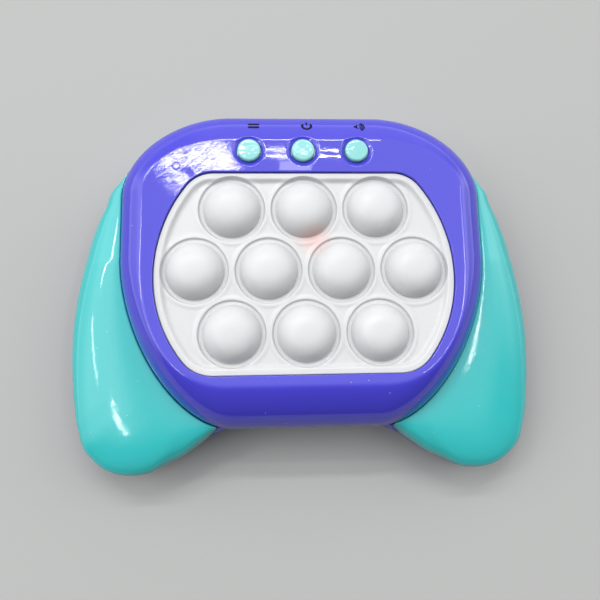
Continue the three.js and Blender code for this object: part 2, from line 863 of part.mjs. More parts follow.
// A button about its axis, with z = 0 on the face: domed cap, flange and stem.
function button() {
  const flangeUnder = -coverWall - seatGap - buttonFlangeHeight;
  const switchTop = onBoard + switchHeight - faceHeight;
  const dome = Array.from({ length: domeSteps + 1 }, (_, k) => {
    const turn = quarter(k / domeSteps);
    const fall = (buttonProud + buttonEdgeDrop) * (1 - Math.cos(turn));
    return [buttonRadius * Math.sin(turn), buttonProud - fall];
  });
  return turned([
    ...dome,
    [buttonRadius, -coverWall - seatGap],
    [buttonFlange, -coverWall - seatGap],
    [buttonFlange, flangeUnder],
    [buttonStem, flangeUnder],
    [buttonStem, switchTop - seatGap],
    [0, switchTop - seatGap],
  ], domeSides);
}

// A key switch about the button's axis, with z = 0 on its base and a well for the stem.
function keySwitch() {
  const half = switchSize / 2;
  const body = block(-half, half, -half, half, 0, switchHeight);
  const depth = Math.max(switchWellDepth, buttonTravel + 2 * seatGap);
  return body.subtract(
    post(0, 0, buttonStem + seatGap, switchHeight - depth, switchHeight + overrun, pinSides),
  );
}

// Speaker pieces about their axis, with z = 0 on the rim.
function speakerFrame() {
  const bore = speakerRadius - speakerRim;
  return turned([
    [bore, 0],
    [speakerRadius, 0],
    [speakerRadius, speakerRimHeight],
    [speakerNeck, speakerDepth - speakerNeckWall],
    [speakerNeck, speakerDepth],
    [speakerNeck - speakerNeckWall, speakerDepth],
    [speakerNeck - speakerNeckWall, speakerDepth - 2 * speakerNeckWall],
    [bore, speakerRimHeight],
    [bore, 0],
  ], bossSides);
}

function speakerCone() {
  const edge = speakerRadius - speakerRim - coneGap;
  const neck = speakerNeck / 2;
  return turned([
    [0, coneDepth],
    [neck, coneDepth],
    [edge, coneSkin],
    [edge, 0],
    [neck, coneDepth - coneSkin * 2],
    [0, coneDepth - coneSkin * 2],
  ], bossSides);
}

// A battery about its axis, with z = 0 on its flat end.
function batteryCell() {
  const radius = cellDiameter / 2;
  return turned([
    [0, 0],
    [radius, 0],
    [radius, cellLength - cellNubHeight],
    [cellNubRadius, cellLength - cellNubHeight],
    [cellNubRadius, cellLength],
    [0, cellLength],
  ], bossSides);
}

// Row of a cell, counted from the bottom of the box.
function cellLine(row) {
  return boxSetY + (row - (cellCount - 1) / 2) * cellPitch;
}

// Where the tab of an end contact stands: right end on the lowest cell, left end on the highest.
function contactTabAt(end) {
  const x = end * (cellLength / 2 + seatGap + contactThickness / 2);
  return [x, cellLine(end > 0 ? 0 : cellCount - 1)];
}

// An end contact: a plate behind one cell, with a tab up through the box's roof.
function endContact(end) {
  const [x, y] = contactTabAt(end);
  const half = contactThickness / 2;
  const plate = block(
    x - half,
    x + half,
    y - contactWidth / 2,
    y + contactWidth / 2,
    cellHeight - contactWidth / 2,
    boxCeiling - seatGap,
  );
  const tab = block(
    x - half,
    x + half,
    y - contactTabWidth / 2,
    y + contactTabWidth / 2,
    cellHeight,
    boxTop + contactTabRise,
  );
  return plate.add(tab);
}

// A link contact: one plate behind two neighbouring cells.
function linkContact(end) {
  const x = end * (cellLength / 2 + seatGap + contactThickness / 2);
  const first = end > 0 ? 1 : 0;
  return block(
    x - contactThickness / 2,
    x + contactThickness / 2,
    cellLine(first) - contactWidth / 2,
    cellLine(first + 1) + contactWidth / 2,
    cellHeight - contactWidth / 2,
    boxCeiling - seatGap,
  );
}

// A wire that rises from one point and ends under the board.
function wire(from, x, y) {
  const end = new THREE.Vector3(x, y, underBoard);
  const bend = Math.min(wireBend, (end.z - from.z) / 3);
  const path = new THREE.CatmullRomCurve3([
    from,
    new THREE.Vector3(from.x, from.y, from.z + bend),
    new THREE.Vector3(x, y, end.z - bend),
    end,
  ]);
  const section = new THREE.Shape();
  section.absarc(0, 0, wireRadius, 0, 2 * Math.PI);
  const geometry = new THREE.ExtrudeGeometry(section, {
    steps: wireSteps,
    curveSegments: wireSides / 2,
    extrudePath: path,
    bevelEnabled: false,
  });
  return solidOf(geometry);
}

const game = new THREE.Group();

function place(name, solid, material, x = 0, y = 0, z = 0) {
  const made = piece(name, solid, material);
  made.position.set(x, y, z);
  game.add(made);
  return made;
}

place('front_cover', frontCover(), materials.purple);
place('rear_cover', rearCover(), materials.purple);
place('right_grip_cover', gripCover(), materials.teal);
place('left_grip_cover', gripCover().mirror([1, 0, 0]), materials.teal);
place('bubble_pad', bubblePad(), materials.silicone);
place('pad_support_frame', supportFrame(), materials.white);
place('main_board', mainBoard(), materials.board);
place('control_chip', block(
  -chipSize / 2,
  chipSize / 2,
  chipSetY - chipSize / 2,
  chipSetY + chipSize / 2,
  underBoard - chipHeight,
  underBoard,
), materials.black);

const bubbleSolid = bubble();
const ledSolid = block(-ledLength / 2, ledLength / 2, -ledWidth / 2, ledWidth / 2, 0, ledHeight);
centres.forEach(({ x, y }, k) => {
  place(`bubble_${k + 1}`, bubbleSolid, materials.silicone, x, y, ringHeight);
  place(`bubble_led_${k + 1}`, ledSolid, materials.lamp, x + ledSetX, y + ledSetY, onBoard);
});

const buttonSolid = button();
const switchSolid = keySwitch();
['mode', 'power', 'volume'].forEach((name, k) => {
  place(`${name}_button`, buttonSolid, materials.aqua, buttonXs[k], buttonLine, faceHeight);
  place(`${name}_switch`, switchSolid, materials.black, buttonXs[k], buttonLine, onBoard);
});

place('speaker_frame', speakerFrame(), materials.steel, 0, speakerY, speakerBase);
place('speaker_cone', speakerCone(), materials.paper, 0, speakerY, speakerBase);
const magnetBase = speakerTop + seatGap;
place(
  'speaker_magnet',
  post(0, speakerY, magnetRadius, magnetBase, magnetBase + magnetHeight, bossSides),
  materials.black,
);

for (let row = 0; row < cellCount; row++) {
  const turn = row % 2 ? -1 : 1;
  const cell = place(`battery_${row + 1}`, batteryCell(), materials.cell);
  cell.rotation.y = turn * Math.PI / 2;
  cell.position.set(-turn * cellLength / 2, cellLine(row), cellHeight);
}
place('battery_door', batteryDoor(), materials.purple);
const doorSeat = doorRecess + doorHeadSink - seatGap;
place(
  'battery_door_screw',
  screw(doorScrewRadius, doorScrewLength, doorScrewHead, doorScrewHeadHeight),
  materials.steel,
  doorScrewX,
  boxSetY,
  doorSeat,
);
place('contact_positive', endContact(1), materials.steel);
place('contact_negative', endContact(-1), materials.steel);
place('contact_link_1', linkContact(-1), materials.steel);
place('contact_link_2', linkContact(1), materials.steel);

screwPlaces.forEach(({ x, y }, k) => {
  const solid = screw(caseScrewRadius, caseScrewLength, caseScrewHead, caseScrewHeadHeight);
  place(`case_screw_${k + 1}`, solid, materials.steel, x, y, screwSeatHeight - seatGap);
});
boardBosses.forEach(({ x, y }, k) => {
  const solid = screw(boardScrewRadius, boardScrewLength, boardScrewHead, boardScrewHeadHeight);
  place(`board_screw_${k + 1}`, solid, materials.steel, x, y, underBoard);
});

const wireStart = speakerY - (speakerNeck + magnetRadius) / 2;
const boardEnd = chipSetY + chipSize / 2 + wireSpread;
const speakerFoot = speakerTop + seatGap;
place(
  'speaker_wire_red',
  wire(new THREE.Vector3(wireSpread, wireStart, speakerFoot), wireSpread, boardEnd),
  materials.red,
);
place(
  'speaker_wire_black',
  wire(new THREE.Vector3(-wireSpread, wireStart, speakerFoot), -wireSpread, boardEnd),
  materials.black,
);
[1, -1].forEach((end) => {
  const [x, y] = contactTabAt(end);
  const foot = new THREE.Vector3(x, y, boxTop + contactTabRise + seatGap);
  const name = end > 0 ? 'battery_wire_red' : 'battery_wire_black';
  place(name, wire(foot, x - end * wireBend, y), end > 0 ? materials.red : materials.black);
});

// The middle of the whole outline lies on y = 0.
const reachY = rearOutline.map((point) => point.y);
game.position.y = -(Math.max(...reachY) + Math.min(...reachY)) / 2;

export default game;
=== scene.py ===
"""A handheld push bubble game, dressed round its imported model. Metres, +Z up, on its back."""
import math

import bmesh
import bpy
import numpy as np
from mathutils import Matrix, Vector
from mathutils.geometry import delaunay_2d_cdt


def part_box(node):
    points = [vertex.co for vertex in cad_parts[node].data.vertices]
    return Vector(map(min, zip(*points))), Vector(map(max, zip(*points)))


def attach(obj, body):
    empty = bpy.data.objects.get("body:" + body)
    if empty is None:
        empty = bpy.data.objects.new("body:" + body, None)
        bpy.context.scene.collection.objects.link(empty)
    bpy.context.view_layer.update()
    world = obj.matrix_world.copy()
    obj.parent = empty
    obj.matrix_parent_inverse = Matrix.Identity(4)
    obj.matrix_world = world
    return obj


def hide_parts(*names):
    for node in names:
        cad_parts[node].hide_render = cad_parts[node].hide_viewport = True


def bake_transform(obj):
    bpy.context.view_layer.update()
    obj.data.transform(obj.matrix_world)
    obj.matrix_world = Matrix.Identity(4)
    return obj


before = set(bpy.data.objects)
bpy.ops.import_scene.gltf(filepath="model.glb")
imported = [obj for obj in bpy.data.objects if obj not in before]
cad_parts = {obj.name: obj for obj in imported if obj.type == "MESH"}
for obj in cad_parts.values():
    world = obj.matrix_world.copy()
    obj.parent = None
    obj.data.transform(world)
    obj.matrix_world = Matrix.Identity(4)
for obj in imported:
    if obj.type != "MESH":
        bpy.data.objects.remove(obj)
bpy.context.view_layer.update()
mm = 0.001

# Camera: it looks down on the game from a little below and left of its middle, as the photograph
# was taken. Its place is measured from the middle of the bubble field, on the plane of the rings.
pad_low, pad_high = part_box("bubble_pad")
bead_rise = 1.3 * mm
ring_rise = 1.0 * mm
pad_floor = pad_high.z - bead_rise
field_y = (pad_low.y + pad_high.y) / 2
camera_ahead = Vector((0.05789, 0.17247, -0.98331))
camera_up = Vector((0.01084, 0.98480, 0.17337))
camera_turn = Matrix((camera_ahead.cross(camera_up), camera_up, -camera_ahead)).transposed()
camera_data = bpy.data.cameras.new("camera")
camera_data.sensor_width = 36
camera_data.lens = 37.16
camera_data.clip_start = 0.01
camera = bpy.data.objects.new("camera", camera_data)
camera_place = Vector((-14.46, -47.45, 210.10)) * mm + Vector((0, field_y, pad_floor + ring_rise))
camera.matrix_world = Matrix.Translation(camera_place) @ camera_turn.to_4x4()
bpy.context.scene.collection.objects.link(camera)
bpy.context.scene.camera = camera

# Front cover: a violet shell of glossy ABS, injection moulded in one piece. Its flat face ends at a
# soft crease and rolls down a shoulder to the seam. Four screws from behind hold it.
cover_low, cover_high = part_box("front_cover")
face_z = cover_high.z
cover_wall = 2 * mm
top_flat = 26.3 * mm
low_flat = 26 * mm
shoulder_line = field_y + 29 * mm
hip_line = field_y + 5 * mm
top_power = 1.9
low_power = 1.78
crease_power = 2.25
side_crease = 8.2 * mm
top_crease = 11.4 * mm
low_crease = 13.7 * mm
top_drop = 9 * mm
low_drop = 14.6 * mm
top_bevel = 0.4
low_bevel = 0.36
crease_ease = 0.105
ease_lines = 8
ease_start = 0.75
past_ease = 0.04
clear_past_ease = 0.02
roll_steps = 26
lip_steps = 7
lip_lines = (0.25 * mm, 2.4 * mm)
edge_break = 0.3 * mm
edge_middle = 0.3
opening_half_width = 51.8 * mm
opening_half_height = 35.234 * mm
opening_side = 50 * mm
opening_corner = 12 * mm
opening_lip = 0.35 * mm
opening_sag = 1.2 * mm
sag_top = 22 * mm
sag_run = 50 * mm
cover_sharp = 50


def half_outline(width, top, bottom, power, top_steps=40, side_steps=16, corner_steps=48):
    """The right half of a cover outline, from the middle of its top edge to that of its bottom."""
    turn = np.linspace(0, np.pi / 2, corner_steps + 1)
    over = np.arange(top_steps) / top_steps
    down = np.arange(1, side_steps) / side_steps
    back = 1 - np.arange(1, side_steps + 1) / side_steps
    corner_x = top_flat + (width - top_flat) * np.sin(turn) ** (2 / top_power)
    corner_y = shoulder_line + (top - shoulder_line) * np.cos(turn) ** (2 / top_power)
    foot_x = low_flat + (width - low_flat) * np.cos(turn) ** (2 / power)
    foot_y = hip_line - (hip_line - bottom) * np.sin(turn) ** (2 / power)
    side_y = shoulder_line + (hip_line - shoulder_line) * down
    runs = (
        (top_flat * over, top), (corner_x, corner_y), (width, side_y), (foot_x, foot_y),
        (low_flat * back, bottom))
    return np.concatenate([np.stack(np.broadcast_arrays(x, y), 1) for x, y in runs])


def whole_outline(half):
    """Both halves of an outline, counter-clockwise from the middle of the bottom edge."""
    return np.concatenate([half[::-1], half[1:-1] * (-1, 1)])


def inward_of(ring):
    """Directions square to a counter-clockwise ring, pointing inwards."""
    along = np.roll(ring, -1, 0) - np.roll(ring, 1, 0)
    along /= np.linalg.norm(along, axis=1, keepdims=True)
    return np.stack([-along[:, 1], along[:, 0]], 1)


def moved_in(ring, distance):
    """A counter-clockwise ring moved inwards, square to itself."""
    return ring + distance * inward_of(ring)


def arc(x, y, radius, start, stop, steps):
    """Points of an arc, without its last one."""
    turn = np.linspace(start, stop, steps, endpoint=False)
    return np.stack([x + radius * np.cos(turn), y + radius * np.sin(turn)], 1)


def eased(value, start, stop):
    """A smooth step from 0 at start to 1 at stop."""
    share = np.clip((value - start) / (stop - start), 0, 1)
    return share * share * (3 - 2 * share)


def sag(y):
    """How much further out the opening's edge lies towards its lower end."""
    return opening_sag * eased(field_y + sag_top - y, 0, sag_run)


def opening_ring(grow, corner_steps=18, side_steps=48, end_steps=36):
    """The pad opening's outline, grown outwards: flat ends, bowed sides and round corners."""
    side_x = opening_half_width - opening_side
    corner_y = opening_half_height - opening_corner
    corner_x = side_x + math.sqrt((opening_side - opening_corner) ** 2 - corner_y ** 2)
    meet = math.atan2(corner_y, corner_x - side_x)
    high = opening_half_height + grow
    side = opening_side + grow
    corner = opening_corner + grow
    upper = [
        arc(side_x, 0, side, -meet, meet, side_steps),
        arc(corner_x, corner_y, corner, meet, math.pi / 2, corner_steps),
        np.linspace((corner_x, high), (-corner_x, high), end_steps, endpoint=False),
        arc(-corner_x, corner_y, corner, math.pi / 2, math.pi - meet, corner_steps),
    ]
    ring = np.concatenate(upper)
    ring = np.concatenate([ring, -ring]) + (0, field_y)
    return moved_in(ring, -sag(ring[:, 1])[:, None])


def smaller(first, second, blend):
    """The smaller of two heights, blended where they are close."""
    share = np.clip(0.5 + 0.5 * (second - first) / blend, 0, 1)
    return second * (1 - share) + first * share - blend * share * (1 - share)


def share_down(y):
    """How far down from the hips to the bottom edge a place lies, from 0 to 1."""
    return np.clip((hip_line - y) / (hip_line - cover_low.y), 0, 1)


def shoulder_rise(out, bevel=top_bevel):
    """Share of the shoulder's drop at a share of the way out from the crease, eased round it."""
    near = np.maximum(out + crease_ease, 0) ** 2 / (4 * crease_ease)
    reach = np.clip(np.where(out > crease_ease, out, near), 0, 1)
    return bevel * reach + (1 - bevel) * (1 - np.sqrt(1 - reach ** 2))


merge_distance = 1e-8


class Plan:
    """Plan points with an upper and a lower place each, and the edges that a mesh keeps."""

    def __init__(self):
        self.plan, self.upper, self.lower, self.edges = [], [], [], []
        self.count = 0

    def ring(self, plan, upper, lower, clear=None, closed=True):
        """Adds a ring of points, leaving out those that aren't clear. Gives their numbers."""
        kept = np.ones(len(plan), bool) if clear is None else clear
        numbers = np.full(len(plan), -1)
        numbers[kept] = self.count + np.arange(kept.sum())
        self.plan.append(plan[kept])
        self.upper.append(upper[kept])
        self.lower.append(lower[kept])
        self.count += int(kept.sum())
        if closed:
            pairs = np.stack([numbers, np.roll(numbers, -1)], 1)
            self.edges += pairs[(pairs >= 0).all(1)].tolist()
        return numbers

    def triangles(self):
        """Triangles over all the points, along the edges, and the middle of each."""
        plan = np.concatenate(self.plan)
        flat = [Vector(point) for point in plan.tolist()]
        _, _, faces, source, _, _ = delaunay_2d_cdt(flat, self.edges, [], 0, merge_distance)
        faces = np.array([[source[i][0] for i in face] for face in faces])
        return faces, plan[faces].mean(1)


def lifted(plan, height):
    """Plan points with a height each, or one for all."""
    return np.column_stack([plan, np.broadcast_to(height, len(plan))])


def inside(points, ring):
    """Which points lie inside a convex counter-clockwise ring."""
    step = np.roll(ring, -1, 0) - ring
    within = np.ones(len(points), bool)
    for corner, (dx, dy) in zip(ring, step):
        within &= dx * (points[:, 1] - corner[1]) - dy * (points[:, 0] - corner[0]) > 0
    return within


def bridge(first, second):
    """Quads between two rings of point numbers."""
    a, b = np.asarray(first), np.asarray(second)
    return np.stack([a, np.roll(a, -1), np.roll(b, -1), b], 1).tolist()


def make_piece(name, vertices, faces, sharp=40):
    """A mesh object with its faces pointing out, smooth but for its sharp edges."""
    mesh = bpy.data.meshes.new(name)
    mesh.from_pydata(np.asarray(vertices).tolist(), [], faces)
    shell = bmesh.new()
    shell.from_mesh(mesh)
    bmesh.ops.recalc_face_normals(shell, faces=shell.faces)
    shell.to_mesh(mesh)
    shell.free()
    mesh.shade_smooth()
    mesh.set_sharp_from_angle(angle=math.radians(sharp))
    piece = bpy.data.objects.new(name, mesh)
    bpy.context.scene.collection.objects.link(piece)
    return piece


def plate(name, plan, faces, rim, walls, openings, sharp):
    """A closed piece from a plan's two sides, with rings that lead round its rim from the upper
    side to the lower one, and a wall in each opening."""
    upper, lower = np.concatenate(plan.upper), np.concatenate(plan.lower)
    numbers = [rim]
    for k, wall in enumerate(walls):
        numbers.append(2 * len(upper) + k * len(wall) + np.arange(len(wall)))
    numbers.append(rim + len(upper))
    quads = [quad for a, b in zip(numbers, numbers[1:]) for quad in bridge(a, b)]
    for ring in openings:
        quads += bridge(ring, ring + len(upper))
    under = faces[:, ::-1] + len(upper)
    vertices = np.concatenate([upper, lower, *walls])
    return make_piece(name, vertices, [*faces.tolist(), *under.tolist(), *quads], sharp)


outline = whole_outline(half_outline(cover_high.x, cover_high.y, cover_low.y, low_power))
crease = whole_outline(half_outline(
    cover_high.x - side_crease, cover_high.y - top_crease, cover_low.y + low_crease, crease_power))
down_share = share_down(outline[:, 1])
shoulder_drop = top_drop + (low_drop - top_drop) * down_share
shoulder_bevel = top_bevel + (low_bevel - top_bevel) * down_share

button_names = ["mode_button", "power_button", "volume_button"]
button_places = [(sum(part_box(name), Vector()) / 2).to_2d() for name in button_names]
well_bore = 4.45 * mm
well_radius = 5.8 * mm
well_depth = 0.75 * mm
well_ease = 0.16 * mm
well_radii = np.array([
    4.45, 4.7, 4.95, 5.2, 5.35, 5.5, 5.6, 5.7, 5.8, 5.9, 6.0, 6.1, 6.25, 6.45]) * mm
well_clear = 6.7 * mm
well_steps = 80
gate_place = Vector((-44.8 * mm, field_y + 37.5 * mm))
gate_radii = np.array([0.5, 0.9, 1.0, 1.07, 1.14, 1.2, 1.26, 1.33, 1.4, 1.7]) * mm
gate_steps = 40
gate_rim = 0.05 * mm
gate_rim_radius = 1.2 * mm
gate_rim_half = 0.2 * mm
gate_clear = 1.9 * mm


def face_height(y):
    """Height of the cover's outside along the straight top edge."""
    out = (y - (cover_high.y - top_crease)) / top_crease
    return face_z - top_drop * shoulder_rise(out)


def inside_height(y):
    """Height of the cover's inside along the straight top edge."""
    out = (y - (cover_high.y - top_crease)) / (top_crease - cover_wall)
    return face_z - cover_wall - top_drop * shoulder_rise(out)


def clear_of_marks(plan):
    clear = np.linalg.norm(plan - np.array(gate_place), axis=1) > gate_clear
    for place in button_places:
        clear &= np.linalg.norm(plan - np.array(place), axis=1) > well_clear
    return clear


def front_cover():
    plan = Plan()
    inner_outline = moved_in(outline, cover_wall)
    roll = np.sin(np.linspace(np.pi / 2, math.asin(crease_ease), roll_steps))
    ease = crease_ease * np.linspace(ease_start, -1, ease_lines)
    innermost = -crease_ease - past_ease
    rings = []
    for out in [*roll, *ease, innermost]:
        ring = crease + (outline - crease) * out
        under = crease + (inner_outline - crease) * out
        fall = shoulder_drop * shoulder_rise(out, shoulder_bevel)
        rings.append(plan.ring(
            ring, lifted(ring, face_z - fall), lifted(under, face_z - cover_wall - fall),
            clear_of_marks(ring)))
    rings_within = crease + (outline - crease) * (innermost - clear_past_ease)
    lips = []
    for turn in np.linspace(0, np.pi / 2, lip_steps):
        ring = opening_ring(opening_lip * (1 - math.cos(turn)))
        height = face_z - opening_lip * (1 - math.sin(turn))
        lips.append(plan.ring(ring, lifted(ring, height), lifted(ring, face_z - cover_wall)))
    for beyond in lip_lines:
        ring = opening_ring(opening_lip + beyond)
        clear = clear_of_marks(ring) & inside(ring, rings_within)
        plan.ring(ring, lifted(ring, face_z), lifted(ring, face_z - cover_wall), clear)
    bores = []
    for place in button_places:
        for radius in well_radii:
            ring = arc(place.x, place.y, radius, 0, 2 * np.pi, well_steps)
            deep = well_depth * (well_radius - radius) / (well_radius - well_bore)
            height = smaller(face_height(ring[:, 1]), face_z - deep, well_ease)
            numbers = plan.ring(ring, lifted(ring, height), lifted(ring, inside_height(ring[:, 1])))
            if radius == well_radii[0]:
                bores.append(numbers)
    for radius in gate_radii:
        ring = arc(gate_place.x, gate_place.y, radius, 0, 2 * np.pi, gate_steps)
        height = face_z + gate_rim * (1 - eased(abs(radius - gate_rim_radius), 0, gate_rim_half))
        plan.ring(ring, lifted(ring, height), lifted(ring, face_z - cover_wall))
    faces, middles = plan.triangles()
    hole = inside(middles, opening_ring(0))
    bore_flat = well_bore * math.cos(np.pi / well_steps)
    for place in button_places:
        hole |= np.linalg.norm(middles - np.array(place), axis=1) < bore_flat
    faces = faces[~hole]
    levels = [
        (0, cover_low.z + edge_break),
        (edge_middle * edge_break, cover_low.z + edge_middle * edge_break),
        (edge_break, cover_low.z),
        (cover_wall, cover_low.z),
    ]
    walls = [lifted(moved_in(outline, inward), height) for inward, height in levels]
    return plate("front_shell", plan, faces, rings[0], walls, [lips[0], *bores], cover_sharp)


def new_material(name):
    """A node material with its Principled shader, and a shorthand for adding linked nodes."""
    material = bpy.data.materials.new(name)
    material.use_nodes = True
    tree = material.node_tree
    return material, tree, tree.nodes["Principled BSDF"]


def node(tree, kind, values=None, **settings):
    """A new node with its settings, its sockets set or linked by name."""
    made = tree.nodes.new(kind)
    for name, value in settings.items():
        setattr(made, name, value)
    for name, value in (values or {}).items():
        socket = made.inputs[name]
        if isinstance(value, bpy.types.NodeSocket):
            tree.links.new(value, socket)
        else:
            socket.default_value = value
    return made


def calculated(tree, operation, first, second):
    """The result of a math node."""
    return node(tree, "ShaderNodeMath", {0: first, 1: second}, operation=operation).outputs[0]


def ranged(tree, value, start, stop, low=0.0, high=1.0, ease="LINEAR"):
    """A value brought from the range of start and stop to that of low and high."""
    return node(tree, "ShaderNodeMapRange", {
        "Value": value, "From Min": start, "From Max": stop, "To Min": low, "To Max": high,
    }, interpolation_type=ease).outputs["Result"]


def mixed(tree, share, first, second):
    """A colour between two, each of them written out or another node's."""
    mix = node(tree, "ShaderNodeMix", {"Factor": share}, data_type="RGBA")
    for socket, colour in ((mix.inputs[6], first), (mix.inputs[7], second)):
        if isinstance(colour, tuple):
            socket.default_value = (*colour, 1)
        else:
            tree.links.new(colour, socket)
    return mix.outputs[2]


def cloudy(tree, place, scale, detail, **settings):
    """Noise over the object's own coordinates."""
    return node(tree, "ShaderNodeTexNoise", {
        "Vector": place, "Scale": scale, "Detail": detail, **settings}).outputs["Fac"]


def own_place(tree):
    return node(tree, "ShaderNodeTexCoord").outputs["Object"]


def bumped(tree, shader, height, distance, strength=1.0):
    """Adds relief to a shader, over any that it has."""
    normal = shader.inputs["Normal"]
    values = {"Height": height, "Strength": strength, "Distance": distance}
    if normal.links:
        values["Normal"] = normal.links[0].from_socket
    tree.links.new(node(tree, "ShaderNodeBump", values).outputs["Normal"], normal)


def new_group(name, inputs, outputs):
    """A shader node group with named sockets, with its inputs and its output node."""
    group = bpy.data.node_groups.new(name, "ShaderNodeTree")
    for socket, value in inputs.items():
        made = group.interface.new_socket(socket, in_out="INPUT", socket_type="NodeSocketFloat")
        made.default_value = value
    for socket in outputs:
        group.interface.new_socket(socket, in_out="OUTPUT", socket_type="NodeSocketFloat")
    return group, group.nodes.new("NodeGroupInput").outputs, group.nodes.new("NodeGroupOutput")


def moulded_skin_group():
    """Height of a moulded skin: long sink waves, and the fine ripple of a polished tool."""
    group, given, made = new_group("moulded_skin", {
        "Wave Length": 20 * mm, "Wave Height": 0.5, "Ripple Length": 2 * mm, "Ripple Height": 0.05,
    }, ["Height"])
    place = own_place(group)
    heights = []
    for size in ("Wave", "Ripple"):
        scale = calculated(group, "DIVIDE", 1, given[f"{size} Length"])
        noise = cloudy(group, place, scale, 1.0, Roughness=0.4)
        heights.append(calculated(group, "MULTIPLY", noise, given[f"{size} Height"]))
    group.links.new(calculated(group, "ADD", *heights), made.inputs["Height"])
    return group


def handling_group():
    """Marks of handling: a smudge mask for roughness, and fine specks of settled dust."""
    group, given, made = new_group("handling", {
        "Clean": 0.08, "Smudged": 0.16, "Smudge Size": 15 * mm, "Speck Size": 1.2 * mm,
        "Speck Cover": 0.01,
    }, ["Roughness", "Specks"])
    place = own_place(group)
    smudge_scale, speck_scale = (
        calculated(group, "DIVIDE", 1, given[size]) for size in ("Smudge Size", "Speck Size"))
    noise = cloudy(group, place, smudge_scale, 4.0, Roughness=0.6, Distortion=0.4)
    smudge = ranged(group, noise, 0.45, 0.75, given["Clean"], given["Smudged"], "SMOOTHSTEP")
    group.links.new(smudge, made.inputs["Roughness"])
    cells = node(group, "ShaderNodeTexVoronoi", {"Vector": place, "Scale": speck_scale})
    pick = node(group, "ShaderNodeSeparateColor", {"Color": cells.outputs["Color"]})
    chosen = calculated(group, "LESS_THAN", pick.outputs["Red"], given["Speck Cover"])
    core = ranged(group, cells.outputs["Distance"], 0.1, 0.16, 1.0, 0.0)
    group.links.new(calculated(group, "MULTIPLY", chosen, core), made.inputs["Specks"])
    return group


moulded_skin = moulded_skin_group()
handling = handling_group()


def handled(tree, shader, clean, smudged):
    """Gives a shader the roughness of handling, and returns the mask of its dust specks."""
    marks = node(tree, "ShaderNodeGroup", {"Clean": clean, "Smudged": smudged}, node_tree=handling)
    tree.links.new(marks.outputs["Roughness"], shader.inputs["Roughness"])
    return marks.outputs["Specks"]


def moulded(name, colour, deep, wave=0.35, clean=0.07, smudged=0.12, ripple=0.05, ripple_length=2.0,
            metal=0.0):
    """A moulded finish: a colour that clouds slightly, sink waves, ripple and a few dust specks."""
    material, tree, shader = new_material(name)
    place = own_place(tree)
    body = mixed(tree, cloudy(tree, place, 28.0, 2.0), colour, deep)
    dusty = mixed(tree, handled(tree, shader, clean, smudged), body, (0.5, 0.5, 0.48))
    tree.links.new(dusty, shader.inputs["Base Color"])
    skin = node(tree, "ShaderNodeGroup", {
        "Wave Height": wave, "Ripple Height": ripple, "Ripple Length": ripple_length * mm,
    }, node_tree=moulded_skin)
    bumped(tree, shader, skin.outputs["Height"], 0.4 * mm)
    shader.inputs["IOR"].default_value = 1.57
    shader.inputs["Metallic"].default_value = metal
    return material


gate_sinks = [((-41.4, 39.2), 4.0), ((-43.6, 47.0), 4.6)]
flow_turn = 0.6
flow_scale = (120.0, 2000.0, 120.0)
flow_start = 8 * mm
flow_end = 34 * mm
flow_height = 0.42
gate_relief = 0.1 * mm


def gate_marks(material):
    """Adds what moulding leaves round the gate: two shallow sinks, and flow lines that fade."""
    tree = material.node_tree
    place = own_place(tree)
    lying = node(tree, "ShaderNodeMapping", {"Vector": place, "Rotation": (0, 0, -flow_turn)})
    drawn = node(tree, "ShaderNodeMapping", {
        "Vector": lying.outputs["Vector"], "Scale": flow_scale}).outputs["Vector"]

    def away(point):
        off = node(tree, "ShaderNodeVectorMath", {0: place}, operation="DISTANCE")
        off.inputs[1].default_value = point
        return off.outputs["Value"]

    fading = ranged(
        tree, away((*gate_place, face_z)), flow_start, flow_end, flow_height, 0.0, "SMOOTHSTEP")
    height = calculated(tree, "MULTIPLY", cloudy(tree, drawn, 1.0, 3.0), fading)
    for (x, y), reach in gate_sinks:
        dish = ranged(tree, away((x * mm, y * mm, face_z)), 0.0, reach * mm, ease="SMOOTHSTEP")
        height = calculated(tree, "ADD", dish, height)
    bumped(tree, tree.nodes["Principled BSDF"], height, gate_relief)


def stacked(name, rings, sharp=40):
    """A closed mesh from rings that lie one above the other, with a flat end at each."""
    count = len(rings[0])
    faces = [list(range(count)), list(range(len(rings) * count - count, len(rings) * count))]
    for k in range(len(rings) - 1):
        faces += bridge(k * count + np.arange(count), (k + 1) * count + np.arange(count))
    return make_piece(name, np.concatenate(rings), faces, sharp)


def settle(piece):
    """Makes a piece's mesh what its modifiers give."""
    bpy.context.view_layer.update()
    graph = bpy.context.evaluated_depsgraph_get()
    mesh = bpy.data.meshes.new_from_object(piece.evaluated_get(graph))
    piece.modifiers.clear()
    piece.data = mesh


def combined(piece, operation, others):
    """Joins other closed meshes to a piece, cuts them out of it, or keeps what they share."""
    for other in others:
        change = piece.modifiers.new("change", "BOOLEAN")
        change.operation = operation
        change.solver = "MANIFOLD"
        change.object = other
    settle(piece)
    for other in others:
        bpy.data.objects.remove(other)
    return piece


def new_tree(name, inputs):
    """A geometry tree with named inputs, the places first. Gives it and its input sockets."""
    tree = bpy.data.node_groups.new(name, "GeometryNodeTree")
    for socket, kind in {"Places": "Geometry", "Finish": "Material", **inputs}.items():
        tree.interface.new_socket(socket, in_out="INPUT", socket_type=f"NodeSocket{kind}")
    tree.interface.new_socket("Made", in_out="OUTPUT", socket_type="NodeSocketGeometry")
    return tree, tree.nodes.new("NodeGroupInput").outputs


def raised(tree, shape, height):
    """A shape moved up to a height."""
    rise = node(tree, "ShaderNodeCombineXYZ", {"Z": height})
    return node(tree, "GeometryNodeTransform", {
        "Geometry": shape, "Translation": rise.outputs["Vector"]}).outputs["Geometry"]


